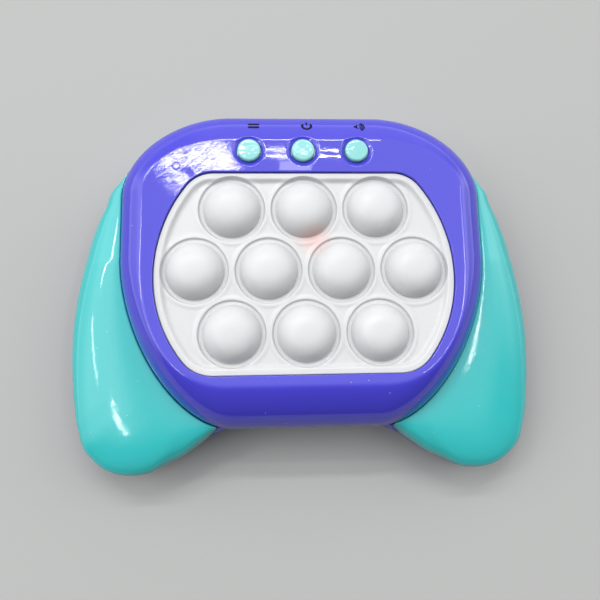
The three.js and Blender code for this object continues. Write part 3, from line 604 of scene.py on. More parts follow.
def stood(tree, given, shape):
    """Ends a tree: the shape stands at each place, is made real and gets its finish."""
    held = node(tree, "GeometryNodeInstanceOnPoints", {
        "Points": given["Places"], "Instance": shape})
    real = node(tree, "GeometryNodeRealizeInstances", {"Geometry": held.outputs["Instances"]})
    finished = node(tree, "GeometryNodeSetMaterial", {
        "Geometry": real.outputs["Geometry"], "Material": given["Finish"]})
    tree.links.new(finished.outputs["Geometry"], tree.nodes.new("NodeGroupOutput").inputs["Made"])
    return tree


def bar_tree():
    """A tree that stands a round bar at each point of a mesh."""
    tree, given = new_tree("upright_bars", {
        "Radius": "Float", "Bottom": "Float", "Top": "Float", "Sides": "Int"})
    bar = node(tree, "GeometryNodeMeshCylinder", {
        "Vertices": given["Sides"], "Radius": given["Radius"],
        "Depth": calculated(tree, "SUBTRACT", given["Top"], given["Bottom"])})
    both = calculated(tree, "ADD", given["Top"], given["Bottom"])
    middle = calculated(tree, "MULTIPLY", both, 0.5)
    return stood(tree, given, raised(tree, bar.outputs["Mesh"], middle))


def grown(name, tree, places, sizes):
    """The plain mesh that a tree makes at some places, with its sizes given by name."""
    mesh = bpy.data.meshes.new(name)
    mesh.from_pydata([tuple(place) for place in places], [], [])
    piece = bpy.data.objects.new(name, mesh)
    bpy.context.scene.collection.objects.link(piece)
    growth = piece.modifiers.new("growth", "NODES")
    growth.node_group = tree
    for socket in tree.interface.items_tree:
        if socket.in_out == "INPUT" and socket.name in sizes:
            growth[socket.identifier] = sizes[socket.name]
    settle(piece)
    return piece


violet_abs = moulded(
    "violet_abs", (0.056, 0.050, 0.50), (0.051, 0.045, 0.475), wave=0.05, clean=0.02, smudged=0.05,
    ripple=0.008)
gate_marks(violet_abs)
upright_bars = bar_tree()


def bars(places, radius, bottom, top, sides=32):
    return grown("bars", upright_bars, [(*place, 0) for place in places], {
        "Radius": radius, "Bottom": bottom, "Top": top, "Sides": sides, "Finish": violet_abs})


def middle_of(name):
    return (sum(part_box(name), Vector()) / 2).to_2d()


seam_gap = 0.3 * mm
boss_radius = 3.3 * mm
board_boss_radius = 3 * mm
screw_bore = 1.6 * mm
board_bore = 1.5 * mm
case_bore_top = 23 * mm
boss_sides = 40
boss_skin_steps = 12
case_places = [middle_of(f"case_screw_{k + 1}") for k in range(6)]
board_places = [middle_of(f"board_screw_{k + 1}") for k in range(4)]


def cover_bosses():
    """Screw bosses that stand under the cover and end in the middle of its wall."""
    skin = [lifted(outline, cover_low.z)]
    for out in np.sin(np.linspace(np.pi / 2, 0, boss_skin_steps)):
        fall = shoulder_drop * shoulder_rise(out, shoulder_bevel)
        skin.append(lifted(crease + (outline - crease) * out, face_z - cover_wall / 2 - fall))
    board_boss_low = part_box("main_board")[1].z + seam_gap
    board_bore_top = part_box("board_screw_1")[1].z + mm
    bosses = combined(
        bars(case_places[:4], boss_radius, cover_low.z, face_z, boss_sides), "UNION",
        [bars(board_places, board_boss_radius, board_boss_low, face_z, boss_sides)])
    combined(bosses, "INTERSECT", [stacked("skin", skin)])
    return combined(bosses, "DIFFERENCE", [
        bars(case_places[:4], screw_bore, cover_low.z - mm, case_bore_top),
        bars(board_places, board_bore, board_boss_low - mm, board_bore_top),
    ])


front_shell = combined(front_cover(), "UNION", [cover_bosses()])
front_shell.data.materials.clear()
front_shell.data.materials.append(violet_abs)
front_shell.data.set_sharp_from_angle(angle=math.radians(cover_sharp))
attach(front_shell, "housing")
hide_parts("front_cover")

# Printed signs: menu, power and speaker, pad printed in dark ink on the shoulder above the three
# buttons. The ink stands a hair above the plastic.
ink_above = 0.035 * mm
ink_below = 0.05 * mm


def printed(name, centre, strokes):
    """A sign from pen strokes in millimetres about its centre, each with a width at its points."""
    vertices, faces = [], []
    for points, widths in strokes:
        points = np.array(points, float)
        along = np.gradient(points, axis=0)
        along /= np.linalg.norm(along, axis=1, keepdims=True)
        across = np.stack([-along[:, 1], along[:, 0]], 1)
        reach = across * np.broadcast_to(widths, len(points))[:, None] / 2
        start = len(vertices)
        for left, right in zip(points + reach, points - reach):
            for (x, y), lift in (
                    (left, ink_above), (right, ink_above), (right, -ink_below), (left, -ink_below)):
                x, y = centre[0] + x * mm, centre[1] + y * mm
                vertices.append((x, y, face_height(y) + lift))
        for k in range(len(points) - 1):
            first = start + 4 * k + np.arange(4)
            faces += bridge(first, first + 4)
        last = start + 4 * (len(points) - 1)
        faces += [[start, start + 1, start + 2, start + 3], [last, last + 1, last + 2, last + 3]]
    return make_piece(name, vertices, faces, sharp=30)


def sweep(x, y, wide, high, start, stop, steps=28):
    turn = np.radians(np.linspace(start, stop, steps))
    return np.stack([x + wide * np.cos(turn), y + high * np.sin(turn)], 1)


bar_x = np.linspace(-2.03, 2.03, 9)
bar_widths = np.array([0.8, 1, 1, 1, 1, 1, 1, 1, 0.8])
sign_strokes = {
    "menu_sign": ((-17.57, 53.75), [
        (np.stack([bar_x, np.full(9, 0.78)], 1), 0.92 * bar_widths),
        (np.stack([bar_x, np.full(9, -0.78)], 1), bar_widths)]),
    "power_sign": ((1.68, 53.72), [
        (sweep(0, 0, 1.62, 1.5, 138, 402, 40), 0.86),
        (np.stack([np.zeros(6), np.linspace(0.35, 1.95, 6)], 1),
         [0.5, 0.62, 0.62, 0.62, 0.62, 0.5])]),
    "speaker_sign": ((20.85, 53.5), [
        ([(-1.95, 0), (-1.4, 0), (-1.35, 0), (-0.9, 0), (-0.45, 0)], [0.85, 0.85, 0.9, 1.7, 2.5]),
        (sweep(-0.6, 0, 1.05, 1.1, 52, -52), 0.42),
        (sweep(-0.6, 0, 1.75, 1.75, 58, -58), 0.52),
        (sweep(-0.6, 0, 2.45, 2.2, 58, -58), 0.52)]),
}


def sign_ink():
    """Dark pad-printing ink: satin, with pinholes where it lies thin."""
    material, tree, shader = new_material("sign_ink")
    thin = ranged(tree, cloudy(tree, own_place(tree), 2600.0, 2.0), 0.62, 0.75)
    body = mixed(tree, thin, (0.003, 0.003, 0.012), (0.012, 0.01, 0.07))
    tree.links.new(body, shader.inputs["Base Color"])
    handled(tree, shader, 0.55, 0.7)
    shader.inputs["Specular IOR Level"].default_value = 0.15
    return material


ink = sign_ink()
for name, (centre, strokes) in sign_strokes.items():
    sign = printed(name, (centre[0] * mm, field_y + centre[1] * mm), strokes)
    sign.data.materials.append(ink)
    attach(sign, "housing")

# Grip covers: two turquoise ABS shells beside the front cover, each held by a screw from behind.
# Each bulges from the seam out to the case's edge, and its edge at the seam has a small radius.
grip_reach = 34.84 * mm
grip_power = 2.2
lobe_power = 1.85
lobe_start_share = 0.55
lobe_end_share = 0.8
seam_edge = 0.7 * mm
thin_wall_share = 0.35
thin_edge_share = 0.3
thin_foot_share = 0.2
seam_start_share = 0.3385
seam_end_share = 0.847
seam_steps = (200, 100, 400)
seam_near = 0.004
grip_edge_steps = 7
grip_shoulder_steps = 34
grip_inner_steps = 16
grip_shares = np.array([
    (0, 0.03), (0.04, 0.101), (0.08, 0.197), (0.12, 0.241), (0.16, 0.3), (0.24, 0.383),
    (0.33, 0.449), (0.42, 0.546), (0.5, 0.644), (0.58, 0.746), (0.66, 0.865), (0.73, 0.98),
    (0.78, 1.04), (0.82, 1.019), (0.85, 0.966), (0.865, 0.92), (0.88, 0.864), (0.893, 0.803),
    (0.905, 0.732), (0.925, 0.56), (0.945, 0.428), (0.963, 0.288), (1, 0.04),
])


def flowing(table, at):
    """Values of a table between its rows, on a curve that doesn't overshoot them."""
    x, y = table.T
    step = np.diff(x)
    slope = np.diff(y) / step
    turn = slope[:-1] * slope[1:] > 0
    weight = 1 / np.where(slope == 0, 1, slope)
    middle = np.where(turn, 2 / (weight[:-1] + weight[1:]), 0)
    lean = np.concatenate([[slope[0]], middle, [slope[-1]]])
    k = np.clip(np.searchsorted(x, at) - 1, 0, len(step) - 1)
    s = (at - x[k]) / step[k]
    return (y[k] * (1 + 2 * s) * (1 - s) ** 2 + lean[k] * step[k] * s * (1 - s) ** 2
            + y[k + 1] * s * s * (3 - 2 * s) + lean[k + 1] * step[k] * s * s * (s - 1))


def along_half(shares):
    """Points of the body outline's right half by share of its length, and the way out there."""
    half = half_outline(cover_high.x, cover_high.y, cover_low.y, low_power, *seam_steps)
    run = np.concatenate([[0], np.cumsum(np.linalg.norm(np.diff(half, axis=0), axis=1))])
    run /= run[-1]
    points, ahead, behind = (
        np.stack([np.interp(shares + past, run, half[:, i]) for i in (0, 1)], 1)
        for past in (0, seam_near, -seam_near))
    step = (ahead - behind) / np.linalg.norm(ahead - behind, axis=1, keepdims=True)
    return points, np.stack([-step[:, 1], step[:, 0]], 1)


grip_along = np.linspace(0, 1, 150)
seam_points, seam_out = along_half(
    seam_start_share + (seam_end_share - seam_start_share) * grip_along)
grip_width = grip_reach * flowing(grip_shares, grip_along)


def grip_shell(name, side):
    """A grip from its cross sections: up over the shoulder from the seam, and back inside."""
    heights = face_z - top_drop - (low_drop - top_drop) * share_down(seam_points[:, 1])
    loops = []
    lobe = eased(grip_along, lobe_start_share, lobe_end_share)
    powers = grip_power + (lobe_power - grip_power) * lobe
    for point, out, reach, seam_z, power in zip(seam_points, seam_out, grip_width, heights, powers):
        wall = min(cover_wall, thin_wall_share * reach)
        edge = min(seam_edge, thin_edge_share * reach)
        foot = min(edge_break, thin_foot_share * reach)
        width = reach - seam_gap
        rise = seam_z - cover_low.z
        near = np.linspace(0, edge, grip_edge_steps)[:-1]
        start = math.asin((edge / width) ** (power / 2))
        turn = np.linspace(start, np.pi / 2, grip_shoulder_steps)
        across = np.concatenate([near, width * np.sin(turn) ** (2 / power)])
        height = rise * np.maximum(1 - (across / width) ** power, 0) ** (1 / power)
        height -= edge - np.sqrt(edge ** 2 - np.maximum(edge - across, 0) ** 2)
        height[-1] = foot
        inner_turn = np.linspace(np.pi / 2, 0, grip_inner_steps)
        inner_across = (width - wall) * np.sin(inner_turn) ** (2 / power)
        inner_height = (rise - wall) * np.cos(inner_turn) ** (2 / power)
        inner_height[0] = 0
        across = np.concatenate([across, [width - foot], inner_across])
        height = np.concatenate([height, [0], inner_height])
        plan = point + np.outer(across + seam_gap, out)
        loops.append(lifted(plan * (side, 1), cover_low.z + height))
    return stacked(name, loops, cover_sharp)


turquoise_abs = moulded("turquoise_abs", (0.038, 0.430, 0.434), (0.034, 0.405, 0.410), wave=0.2)
for name, side in (("right_grip", 1), ("left_grip", -1)):
    grip = grip_shell(name, side)
    grip.data.materials.append(turquoise_abs)
    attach(grip, "housing")
    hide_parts(f"{name}_cover")

# Rear cover: the lower half of the case, a violet ABS bowl with a round edge, moulded with screw
# posts, the battery box and the speaker's ring. The screw wells and the grille open underneath.
tip_round = 4.5 * mm
crotch_round = 6 * mm
rear_steps = (60, 24, 160)
rear_points = 500
rear_edge_inset = 13 * mm
rear_edge_depth = 14 * mm
rear_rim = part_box("rear_cover")[1].z
post_radius = 4.6 * mm
well_top = 8 * mm
screw_well = 3.1 * mm
box_half_length = 23.35 * mm
box_half_width = 16.65 * mm
box_wall = 1.6 * mm
box_ceiling = 13.5 * mm
ledge_height = 2.4 * mm
door_corner = 2 * mm
door_boss = 3.2 * mm
door_boss_top = 10 * mm
door_bore = 1.9 * mm
tab_half = Vector((0.55 * mm, 1.8 * mm))
tab_corner = 0.2 * mm
box_corner = 0.4 * mm
speaker_ring = 14.3 * mm
speaker_ring_wall = 1.3 * mm
speaker_ring_top = 6 * mm
grille_step = 4 * mm
grille_hole = 1 * mm


def bend(first, corner, last, steps=10):
    """Points of a smooth bend between two points, drawn towards a corner."""
    t = np.linspace(0, 1, steps + 1)[:, None]
    return first * (1 - t) ** 2 + 2 * corner * t * (1 - t) + last * t ** 2


def rear_half():
    """The right half of the rear cover's outline: the body's, out round the grip's, and back."""
    body = half_outline(cover_high.x, cover_high.y, cover_low.y, low_power, *rear_steps)
    length = np.linalg.norm(np.diff(body, axis=0), axis=1).sum()
    above = along_half(np.array([seam_start_share - tip_round / length]))[0][0]
    edge = seam_points + seam_out * grip_width[:, None]
    tip, root = edge[0], edge[-1]
    edge = edge[(np.linalg.norm(edge - tip, axis=1) > tip_round)
                & (np.linalg.norm(edge - root, axis=1) > crotch_round)]
    inner = np.array([root[0] - crotch_round, cover_low.y])
    top = body[(body[:, 1] > above[1]) & (body[:, 0] < above[0])]
    bottom = body[(body[:, 1] < 0) & (body[:, 0] < inner[0])]
    return np.concatenate([
        top, bend(above, tip, edge[0]), edge[1:-1], bend(edge[-1], root, inner), bottom])


def evenly(ring, count):
    """A closed ring as a number of evenly spaced points."""
    closed = np.concatenate([ring, ring[:1]])
    run = np.concatenate([[0], np.cumsum(np.linalg.norm(np.diff(closed, axis=0), axis=1))])
    at = np.linspace(0, run[-1], count, endpoint=False)
    return np.stack([np.interp(at, run, closed[:, i]) for i in (0, 1)], 1)


def inward_lines(ring, reach=9):
    """Directions inwards from a ring, evened out along it so that they don't cross."""
    inward = inward_of(ring)
    weights = np.hanning(2 * reach + 3)[1:-1]
    total = sum(weight * np.roll(inward, k - reach, 0) for k, weight in enumerate(weights))
    return total / np.linalg.norm(total, axis=1, keepdims=True)


rear_ring = evenly(whole_outline(rear_half()), rear_points)
rear_lines = inward_lines(rear_ring)


def bowl(name, depth, steps):
    rings = []
    for turn in np.linspace(0, np.pi / 2, steps):
        inward = depth + (rear_edge_inset - depth) * (1 - math.sin(turn))
        height = depth + (rear_edge_depth - depth) * (1 - math.cos(turn))
        rings.append(lifted(rear_ring + inward * rear_lines, height))
    if depth:
        rings.append(lifted(rear_ring + depth * rear_lines, rear_rim + cover_wall))
        return stacked(name, rings)
    for inward, below in ((0, 1), (edge_middle, edge_middle), (1, 0)):
        ring = rear_ring + inward * edge_break * rear_lines
        rings.append(lifted(ring, rear_rim - below * edge_break))
    return stacked(name, rings)


def rounded_ring(low, high, corner, inset=0, steps=8):
    """The outline of a block with round corners, moved in by an inset."""
    x0, y0, x1, y1 = low[0] + corner, low[1] + corner, high[0] - corner, high[1] - corner
    quarter = np.pi / 2
    return np.concatenate([
        arc(x, y, corner - inset, k * quarter, (k + 1) * quarter, steps)
        for k, (x, y) in enumerate([(x1, y1), (x0, y1), (x0, y0), (x1, y0)])])


def rounded_box(low, high, corner, bottom, top):
    """A closed block with its upright edges rounded."""
    ring = rounded_ring(low, high, corner)
    return stacked("block", [lifted(ring, bottom), lifted(ring, top)])


def grown_box(low, high, corner, grow, bottom, top):
    """A rounded block that stands a distance out round another one."""
    return rounded_box(
        (low.x - grow, low.y - grow), (high.x + grow, high.y + grow), corner + grow, bottom, top)


def rear_cover():
    """The bowl, what is moulded in it, and then its openings."""
    door_low, door_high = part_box("battery_door")
    door_screw = middle_of("battery_door_screw")
    speaker = middle_of("speaker_frame")
    box_low, box_high = (
        Vector((side * box_half_length, (door_low.y + door_high.y) / 2 + side * box_half_width))
        for side in (-1, 1))
    under = -mm
    box_top = box_ceiling + box_wall
    fittings = combined(bars(case_places, post_radius, 0, rear_rim, 48), "UNION", [
        grown_box(box_low, box_high, 0, box_wall, 0, box_top),
        grown_box(
            door_low, door_high, door_corner, seam_gap + box_wall, 0, ledge_height + box_wall),
        bars([door_screw], door_boss, 0, door_boss_top, 48),
        bars([speaker], speaker_ring + speaker_ring_wall, 0, speaker_ring_top, 96),
    ])
    combined(fittings, "DIFFERENCE", [
        bars([speaker], speaker_ring, under, speaker_ring_top + mm, 96)])
    combined(fittings, "INTERSECT", [bowl("outside", 0, 16)])
    cover = combined(bowl("rear_bowl", 0, 16), "DIFFERENCE", [bowl("hollow", cover_wall, 9)])
    combined(cover, "UNION", [fittings])
    grille = [speaker]
    for ring in (1, 2):
        turns = 2 * np.pi * np.arange(6 * ring) / (6 * ring)
        grille += [speaker + ring * grille_step * Vector((math.cos(t), math.sin(t))) for t in turns]
    tabs = [
        rounded_box(tab - tab_half, tab + tab_half, tab_corner, box_ceiling - mm, box_top + mm)
        for tab in (middle_of("contact_positive"), middle_of("contact_negative"))]
    return combined(cover, "DIFFERENCE", [
        grown_box(box_low, box_high, box_corner, 0, under, box_ceiling),
        grown_box(door_low, door_high, door_corner, seam_gap, under, ledge_height),
        bars([door_screw], door_bore, 0, door_boss_top - mm),
        bars(grille, grille_hole, under, cover_wall + mm, 24),
        bars(case_places, screw_well, under, well_top, 48),
        bars(case_places, screw_bore, 0, rear_rim + mm),
        *tabs,
    ])


def evened(piece):
    """Gives a violet piece its material, and even shading between its sharp edges."""
    piece.data.materials.clear()
    piece.data.materials.append(violet_abs)
    piece.data.shade_smooth()
    piece.data.set_sharp_from_angle(angle=math.radians(35))
    even = piece.modifiers.new("even", "WEIGHTED_NORMAL")
    even.keep_sharp = True
    settle(piece)
    return piece


rear = evened(rear_cover())
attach(rear, "housing")
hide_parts("rear_cover")

# Silicone pad: one white moulding that fills the opening. A bead runs round its edge, and a raised
# ring stands round each bubble, with a flat groove inside it where the skin folds.
bubble_names = [f"bubble_{k + 1}" for k in range(10)]
bubble_places = np.array([(sum(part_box(name), Vector()) / 2)[:2] for name in bubble_names])
groove_radius = 11.35 * mm
dome_radius = 10.1 * mm
ring_inner = 11.95 * mm
ring_outer = 12.45 * mm
ring_foot = 13.75 * mm
bead_start = 2.0 * mm
bead_foot = 3.7 * mm
field_rise = 0.75 * mm
bead_lift = 0.8 * mm
bead_edge = 0.6 * mm
bead_edge_fall = 0.16
flange_width = 2.5 * mm
flange_top = face_z - cover_wall - seam_gap
pad_base = pad_low.z
pad_radii = np.array([9.2, 9.7, 10.1, 10.5, 11.0, 11.35, 11.45, 11.55, 11.65, 11.75, 11.85, 11.95,
                      12.1, 12.3, 12.45, 12.6, 12.73]) * mm
pad_outer_radii = np.array([12.9, 13.05, 13.2, 13.35, 13.5, 13.65, 13.8, 14.2]) * mm
pad_depths = np.array([
    0.3, 0.36, 0.45, 0.6, 0.8, 1.1, 1.4, 1.6, 1.8, 2.0, 2.2, 2.4, 2.6, 2.8, 3.0, 3.5]) * mm
pad_edge_steps = (24, 90, 90)
pad_edge_clear = 0.03 * mm
pad_outer_clear = 0.1 * mm
pad_ring_clear = 0.08 * mm
pad_whole_depth = 0.4 * mm
hole_share = 0.998
bubble_steps = 120
field_step = 0.9 * mm
field_start = 3.8 * mm
field_clear = 14.5 * mm


def opening_depth(points):
    """How far inside the pad opening's edge each point lies."""
    side_x = opening_half_width - opening_side
    corner_y = opening_half_height - opening_corner
    corner_x = side_x + math.sqrt((opening_side - opening_corner) ** 2 - corner_y ** 2)
    x, y = np.abs(points - (0, field_y)).T
    bow = opening_side - np.hypot(x - side_x, y)
    end = opening_half_height - y
    corner = opening_corner - np.hypot(x - corner_x, y - corner_y)
    past = (x - side_x) * corner_y < y * (corner_x - side_x)
    return np.where(past & (x > corner_x), corner, np.where(past, end, bow)) + sag(points[:, 1])


def to_bubbles(points):
    """How far each point lies from the middle of each bubble."""
    return np.linalg.norm(points[:, None] - bubble_places[None], axis=2)


def pad_height(points):
    """Height of the pad's outside: grooves, the field between them, rings and edge bead."""
    spread = to_bubbles(points)
    ring = 1 - np.prod(eased(spread, ring_outer, ring_foot), axis=1)
    within = eased(spread.min(1), groove_radius, ring_inner)
    depth = opening_depth(points)
    bead = 1 - eased(depth, bead_start, bead_foot)
    edge = np.maximum(bead_edge - depth, 0) / bead_edge
    bead = bead * (1 - bead_edge_fall * edge ** 2)
    high = bead_rise + bead_lift
    rise = field_rise + (ring_rise - field_rise) * ring * (1 - bead) + (high - field_rise) * bead
    return pad_floor + within * rise


def clear_of_bubbles(points, own=None):
    """Which points lie outside all rings, or nearer to their own bubble than to the others."""
    spread = to_bubbles(points)
    if own is None:
        return spread.min(1) > pad_radii[-1] + pad_ring_clear
    return np.delete(spread, own, axis=1).min(1) > spread[:, own] + pad_outer_clear


def silicone_pad():
    """The pad's skin over its whole plan, its underside, and the flange that the cover holds."""
    plan = Plan()

    def laid(ring, clear=None, closed=True):
        skin = lifted(ring, pad_height(ring))
        return plan.ring(ring, skin, lifted(ring, pad_base), clear, closed)

    starts = []
    for own, (x, y) in enumerate(bubble_places):
        for radius in pad_radii:
            ring = arc(x, y, radius, 0, 2 * np.pi, bubble_steps)
            within = opening_depth(ring) > pad_depths[0] + pad_edge_clear
            numbers = laid(ring, within if radius > groove_radius else None)
            if radius == pad_radii[0]:
                starts.append(numbers)
        for radius in pad_outer_radii:
            ring = arc(x, y, radius, 0, 2 * np.pi, bubble_steps)
            within = opening_depth(ring) > pad_depths[0] + pad_outer_clear
            laid(ring, clear_of_bubbles(ring, own) & within, closed=False)
    edges = []
    for depth in pad_depths:
        ring = opening_ring(-depth, *pad_edge_steps)
        whole = depth < pad_whole_depth
        edges.append(laid(ring, None if whole else clear_of_bubbles(ring), whole))
    across = np.arange(-opening_half_width, opening_half_width, field_step)
    along = field_y + np.arange(-opening_half_height, opening_half_height, field_step)
    grid = np.stack(np.meshgrid(across, along), 2).reshape(-1, 2)
    clear = (opening_depth(grid) > field_start) & (to_bubbles(grid).min(1) > field_clear)
    laid(grid[clear], closed=False)
    faces, middles = plan.triangles()
    faces = faces[to_bubbles(middles).min(1) >= pad_radii[0] * hole_share]
    flange = [
        lifted(opening_ring(grow, *pad_edge_steps), height) for grow, height in (
            (-pad_depths[0], flange_top), (flange_width, flange_top), (flange_width, pad_base))]
    return plate("silicone_pad", plan, faces, edges[0], flange, starts, sharp=60)


# Painted glow: a pink tint painted into the silicone round here stands in for a red lamp's light.
painted_glow_place = (3.2 * mm, field_y + 11.6 * mm, pad_floor)
painted_glow_reach = 9.5 * mm


def white_silicone():
    """White silicone: milky scatter, fine-grained satin skin, and a red lamp's glow painted in."""
    material, tree, shader = new_material("white_silicone")
    place = own_place(tree)
    body = mixed(tree, cloudy(tree, place, 60.0, 3.0), (0.545, 0.55, 0.555), (0.52, 0.525, 0.535))
    away = node(tree, "ShaderNodeVectorMath", {0: place}, operation="DISTANCE")
    away.inputs[1].default_value = painted_glow_place
    glow = ranged(tree, away.outputs["Value"], 0.0, painted_glow_reach, 1.0, 0.0, "SMOOTHERSTEP")
    # painted light: pink glow painted into the colour, for a red lamp shining through
    painted_glow_colour = mixed(tree, glow, body, (0.60, 0.46, 0.445))
    dusty = mixed(tree, handled(tree, shader, 0.34, 0.5), painted_glow_colour, (0.45, 0.44, 0.42))
    tree.links.new(dusty, shader.inputs["Base Color"])
    skin = node(tree, "ShaderNodeGroup", {
        "Wave Height": 0.1, "Ripple Length": 0.4 * mm, "Ripple Height": 0.1,
    }, node_tree=moulded_skin)
    bumped(tree, shader, skin.outputs["Height"], 0.3 * mm)
    shader.inputs["IOR"].default_value = 1.42
    shader.inputs["Subsurface Weight"].default_value = 0.4
    shader.inputs["Subsurface Radius"].default_value = (1.0, 0.95, 0.9)
    shader.inputs["Subsurface Scale"].default_value = 2 * mm
    return material


silicone = white_silicone()
pad = silicone_pad()
pad.data.materials.append(silicone)
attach(pad, "housing")
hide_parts("bubble_pad")

# Push bubbles: ten hollow silicone domes, part of the pad's moulding. Each has a nub inside that
# presses its key on the board. The skin folds at the groove.
dome_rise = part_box("bubble_1")[1].z - pad_floor
dome_skin = 1.2 * mm
nub_radius = 2.5 * mm
nub_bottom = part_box("bubble_1")[0].z
nub_edge = 0.4 * mm
nub_below_top = 1.1 * dome_skin
dome_flatness = 3.1
dome_steepness = 0.66
dome_steps = 31
foot_width = 0.12 * mm
foot_fall = 0.02 * mm
fold_width = 0.5 * mm
fold_fall = 0.1 * mm
fold_depth = mm


def turned(name, profile, steps=96, closed=False, sharp=40):
    """A turned mesh about the origin's upright axis, from radii and heights. It starts and ends on
    the axis, or closes on itself."""
    turn = np.linspace(0, 2 * np.pi, steps, endpoint=False)
    vertices, rings = [], []
    for radius, height in profile:
        if radius == 0:
            rings.append([len(vertices)] * steps)
            vertices.append((0, 0, height))
        else:
            rings.append(list(range(len(vertices), len(vertices) + steps)))
            vertices += [(radius * math.cos(t), radius * math.sin(t), height) for t in turn]
    if closed:
        rings.append(rings[0])
    faces = []
    for a, b in zip(rings, rings[1:]):
        for quad in bridge(a, b):
            corners = list(dict.fromkeys(quad))
            if len(corners) > 2:
                faces.append(corners)
    return make_piece(name, vertices, faces, sharp)


def shifted(piece, place):
    """Moves a piece's mesh, so that its object stays at the origin."""
    piece.data.transform(Matrix.Translation(place))
    return piece


def dome_profile():
    """Outline of a dome about its axis, from the middle of its top round the skin to its inside. It
    is flatter on top than a ball and steeper at its foot."""
    share = np.sin(np.linspace(0, np.pi / 2, dome_steps))
    height = (1 - share ** dome_flatness) ** dome_steepness
    inside_radius = dome_radius - dome_skin
    return [
        *zip(dome_radius * share, pad_floor + dome_rise * height),
        (dome_radius + foot_width, pad_floor - foot_fall),
        (dome_radius + fold_width, pad_floor - fold_fall),
        (dome_radius + fold_width, pad_floor - fold_depth),
        (inside_radius, pad_floor - fold_depth),
        *zip(inside_radius * share[::-2], pad_floor + (dome_rise - dome_skin) * height[::-2]),
    ]


def nub_profile():
    top = pad_floor + dome_rise - nub_below_top
    return [
        (0, nub_bottom), (nub_radius - nub_edge, nub_bottom), (nub_radius, nub_bottom + nub_edge),
        (nub_radius, top - 2 * nub_edge), (nub_radius + nub_edge, top), (0, top),
    ]


for name, (x, y) in zip(bubble_names, bubble_places):
    dome = shifted(turned(f"{name}_dome", dome_profile()), (x, y, 0))
    dome.data.materials.append(silicone)
    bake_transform(dome)
    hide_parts(name)
    nub = shifted(turned(f"{name}_nub", nub_profile(), steps=32), (x, y, 0))
    nub.data.materials.append(silicone)
    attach(nub, name)

# Control buttons: three caps of pale turquoise plastic, each moulded with a flange that holds it
# under the cover and a stem that works a key switch.
button_radius = 4.15 * mm
button_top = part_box("power_button")[1].z
button_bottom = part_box("power_button")[0].z
button_flange = 5.1 * mm
button_stem = 1.4 * mm
cap_crown = 0.0525 * mm
cap_edge = 0.85 * mm


def button_profile():
    """A cap with a low crown and a round edge, its flange and its stem."""
    flat = button_radius - cap_edge
    crown = [(flat * share, button_top - cap_crown * share ** 2) for share in np.linspace(0, 1, 12)]
    edge = [
        (flat + cap_edge * math.sin(t), button_top - cap_crown - cap_edge * (1 - math.cos(t)))
        for t in np.linspace(0, np.pi / 2, 10)[1:]]
    flange_high = face_z - cover_wall - seam_gap
    return [
        *crown, *edge, (button_radius, flange_high), (button_flange, flange_high),
        (button_flange, flange_high - mm), (button_stem, flange_high - mm),
        (button_stem, button_bottom), (0, button_bottom),
    ]


aqua_abs = moulded(
    "aqua_plastic", (0.25, 0.57, 0.56), (0.17, 0.47, 0.47), wave=0.2, clean=0.05, ripple=0.22,
    ripple_length=2.6)
for name, place in zip(button_names, button_places):
    cap = shifted(turned(f"{name}_cap", button_profile(), steps=72), (place.x, place.y, 0))
    cap.data.materials.append(aqua_abs)
    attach(cap, name)
    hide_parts(name)

# Inside, behind the pad: a plain ABS frame on six pegs carries it, over a green fibre board with
# its chip, a lamp under each bubble and three key switches, all soldered on.


def dressed(names, material):
    """Gives nodes that keep their own shape a finish."""
    for name in names:
        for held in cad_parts[name].material_slots:
            held.material = material


def solder_mask():
    """Green solder mask, lighter where copper lines and pads lie under it."""
    material, tree, shader = new_material("solder_mask")
    place = own_place(tree)
    lines = node(tree, "ShaderNodeTexBrick", {
        "Vector": place, "Scale": 260.0, "Mortar Size": 0.06, "Mortar Smooth": 0.2, "Bias": 0.0,
        "Brick Width": 1.7, "Row Height": 0.42}, offset=0.5, squash=0.6, squash_frequency=3)
    where = ranged(tree, cloudy(tree, place, 110.0, 1.0), 0.46, 0.52)
    copper = calculated(tree, "MULTIPLY", lines.outputs["Fac"], where)
    body = mixed(tree, copper, (0.012, 0.13, 0.045), (0.05, 0.28, 0.09))
    tree.links.new(body, shader.inputs["Base Color"])
    handled(tree, shader, 0.22, 0.34)
    bumped(tree, shader, copper, 0.1 * mm, 0.6)
    return material


frame_abs = moulded(
    "frame_abs", (0.78, 0.78, 0.75), (0.71, 0.71, 0.68), clean=0.34, smudged=0.5, ripple=0.3)
black_nylon = moulded(
    "black_nylon", (0.016, 0.016, 0.018), (0.024, 0.024, 0.026), clean=0.4, smudged=0.55,
    ripple=0.4)
lamp_resin = moulded(
    "lamp_resin", (0.85, 0.80, 0.66), (0.80, 0.74, 0.58), clean=0.12, smudged=0.2)
dressed(["pad_support_frame"], frame_abs)
dressed(["main_board"], solder_mask())
dressed(["control_chip", *(f"{kind}_switch" for kind in ("mode", "power", "volume"))], black_nylon)
dressed([f"bubble_led_{k + 1}" for k in range(10)], lamp_resin)

# Speaker: a pressed paper cone in a black frame, with a ferrite ring magnet behind it. It sits in
# the rear cover's ring, over the grille. Two thin wires each join it and the cells to the board.
cone_paper = moulded(
    "cone_paper", (0.028, 0.028, 0.031), (0.055, 0.055, 0.058), clean=0.75, smudged=0.9, ripple=1.0,
    ripple_length=0.3)
ferrite = moulded(
    "ferrite", (0.035, 0.036, 0.04), (0.075, 0.075, 0.08), clean=0.45, smudged=0.65, ripple=0.6,
    ripple_length=0.5)
dressed(["speaker_frame"], black_nylon)
dressed(["speaker_cone"], cone_paper)
dressed(["speaker_magnet"], ferrite)
for name, colour, deep in (
        ("red", (0.52, 0.02, 0.018), (0.42, 0.014, 0.014)),
        ("black", (0.018, 0.018, 0.019), (0.03, 0.03, 0.031))):
    pvc = moulded(f"{name}_pvc", colour, deep, clean=0.3, smudged=0.45, ripple=0.3)
    dressed([f"speaker_wire_{name}", f"battery_wire_{name}"], pvc)

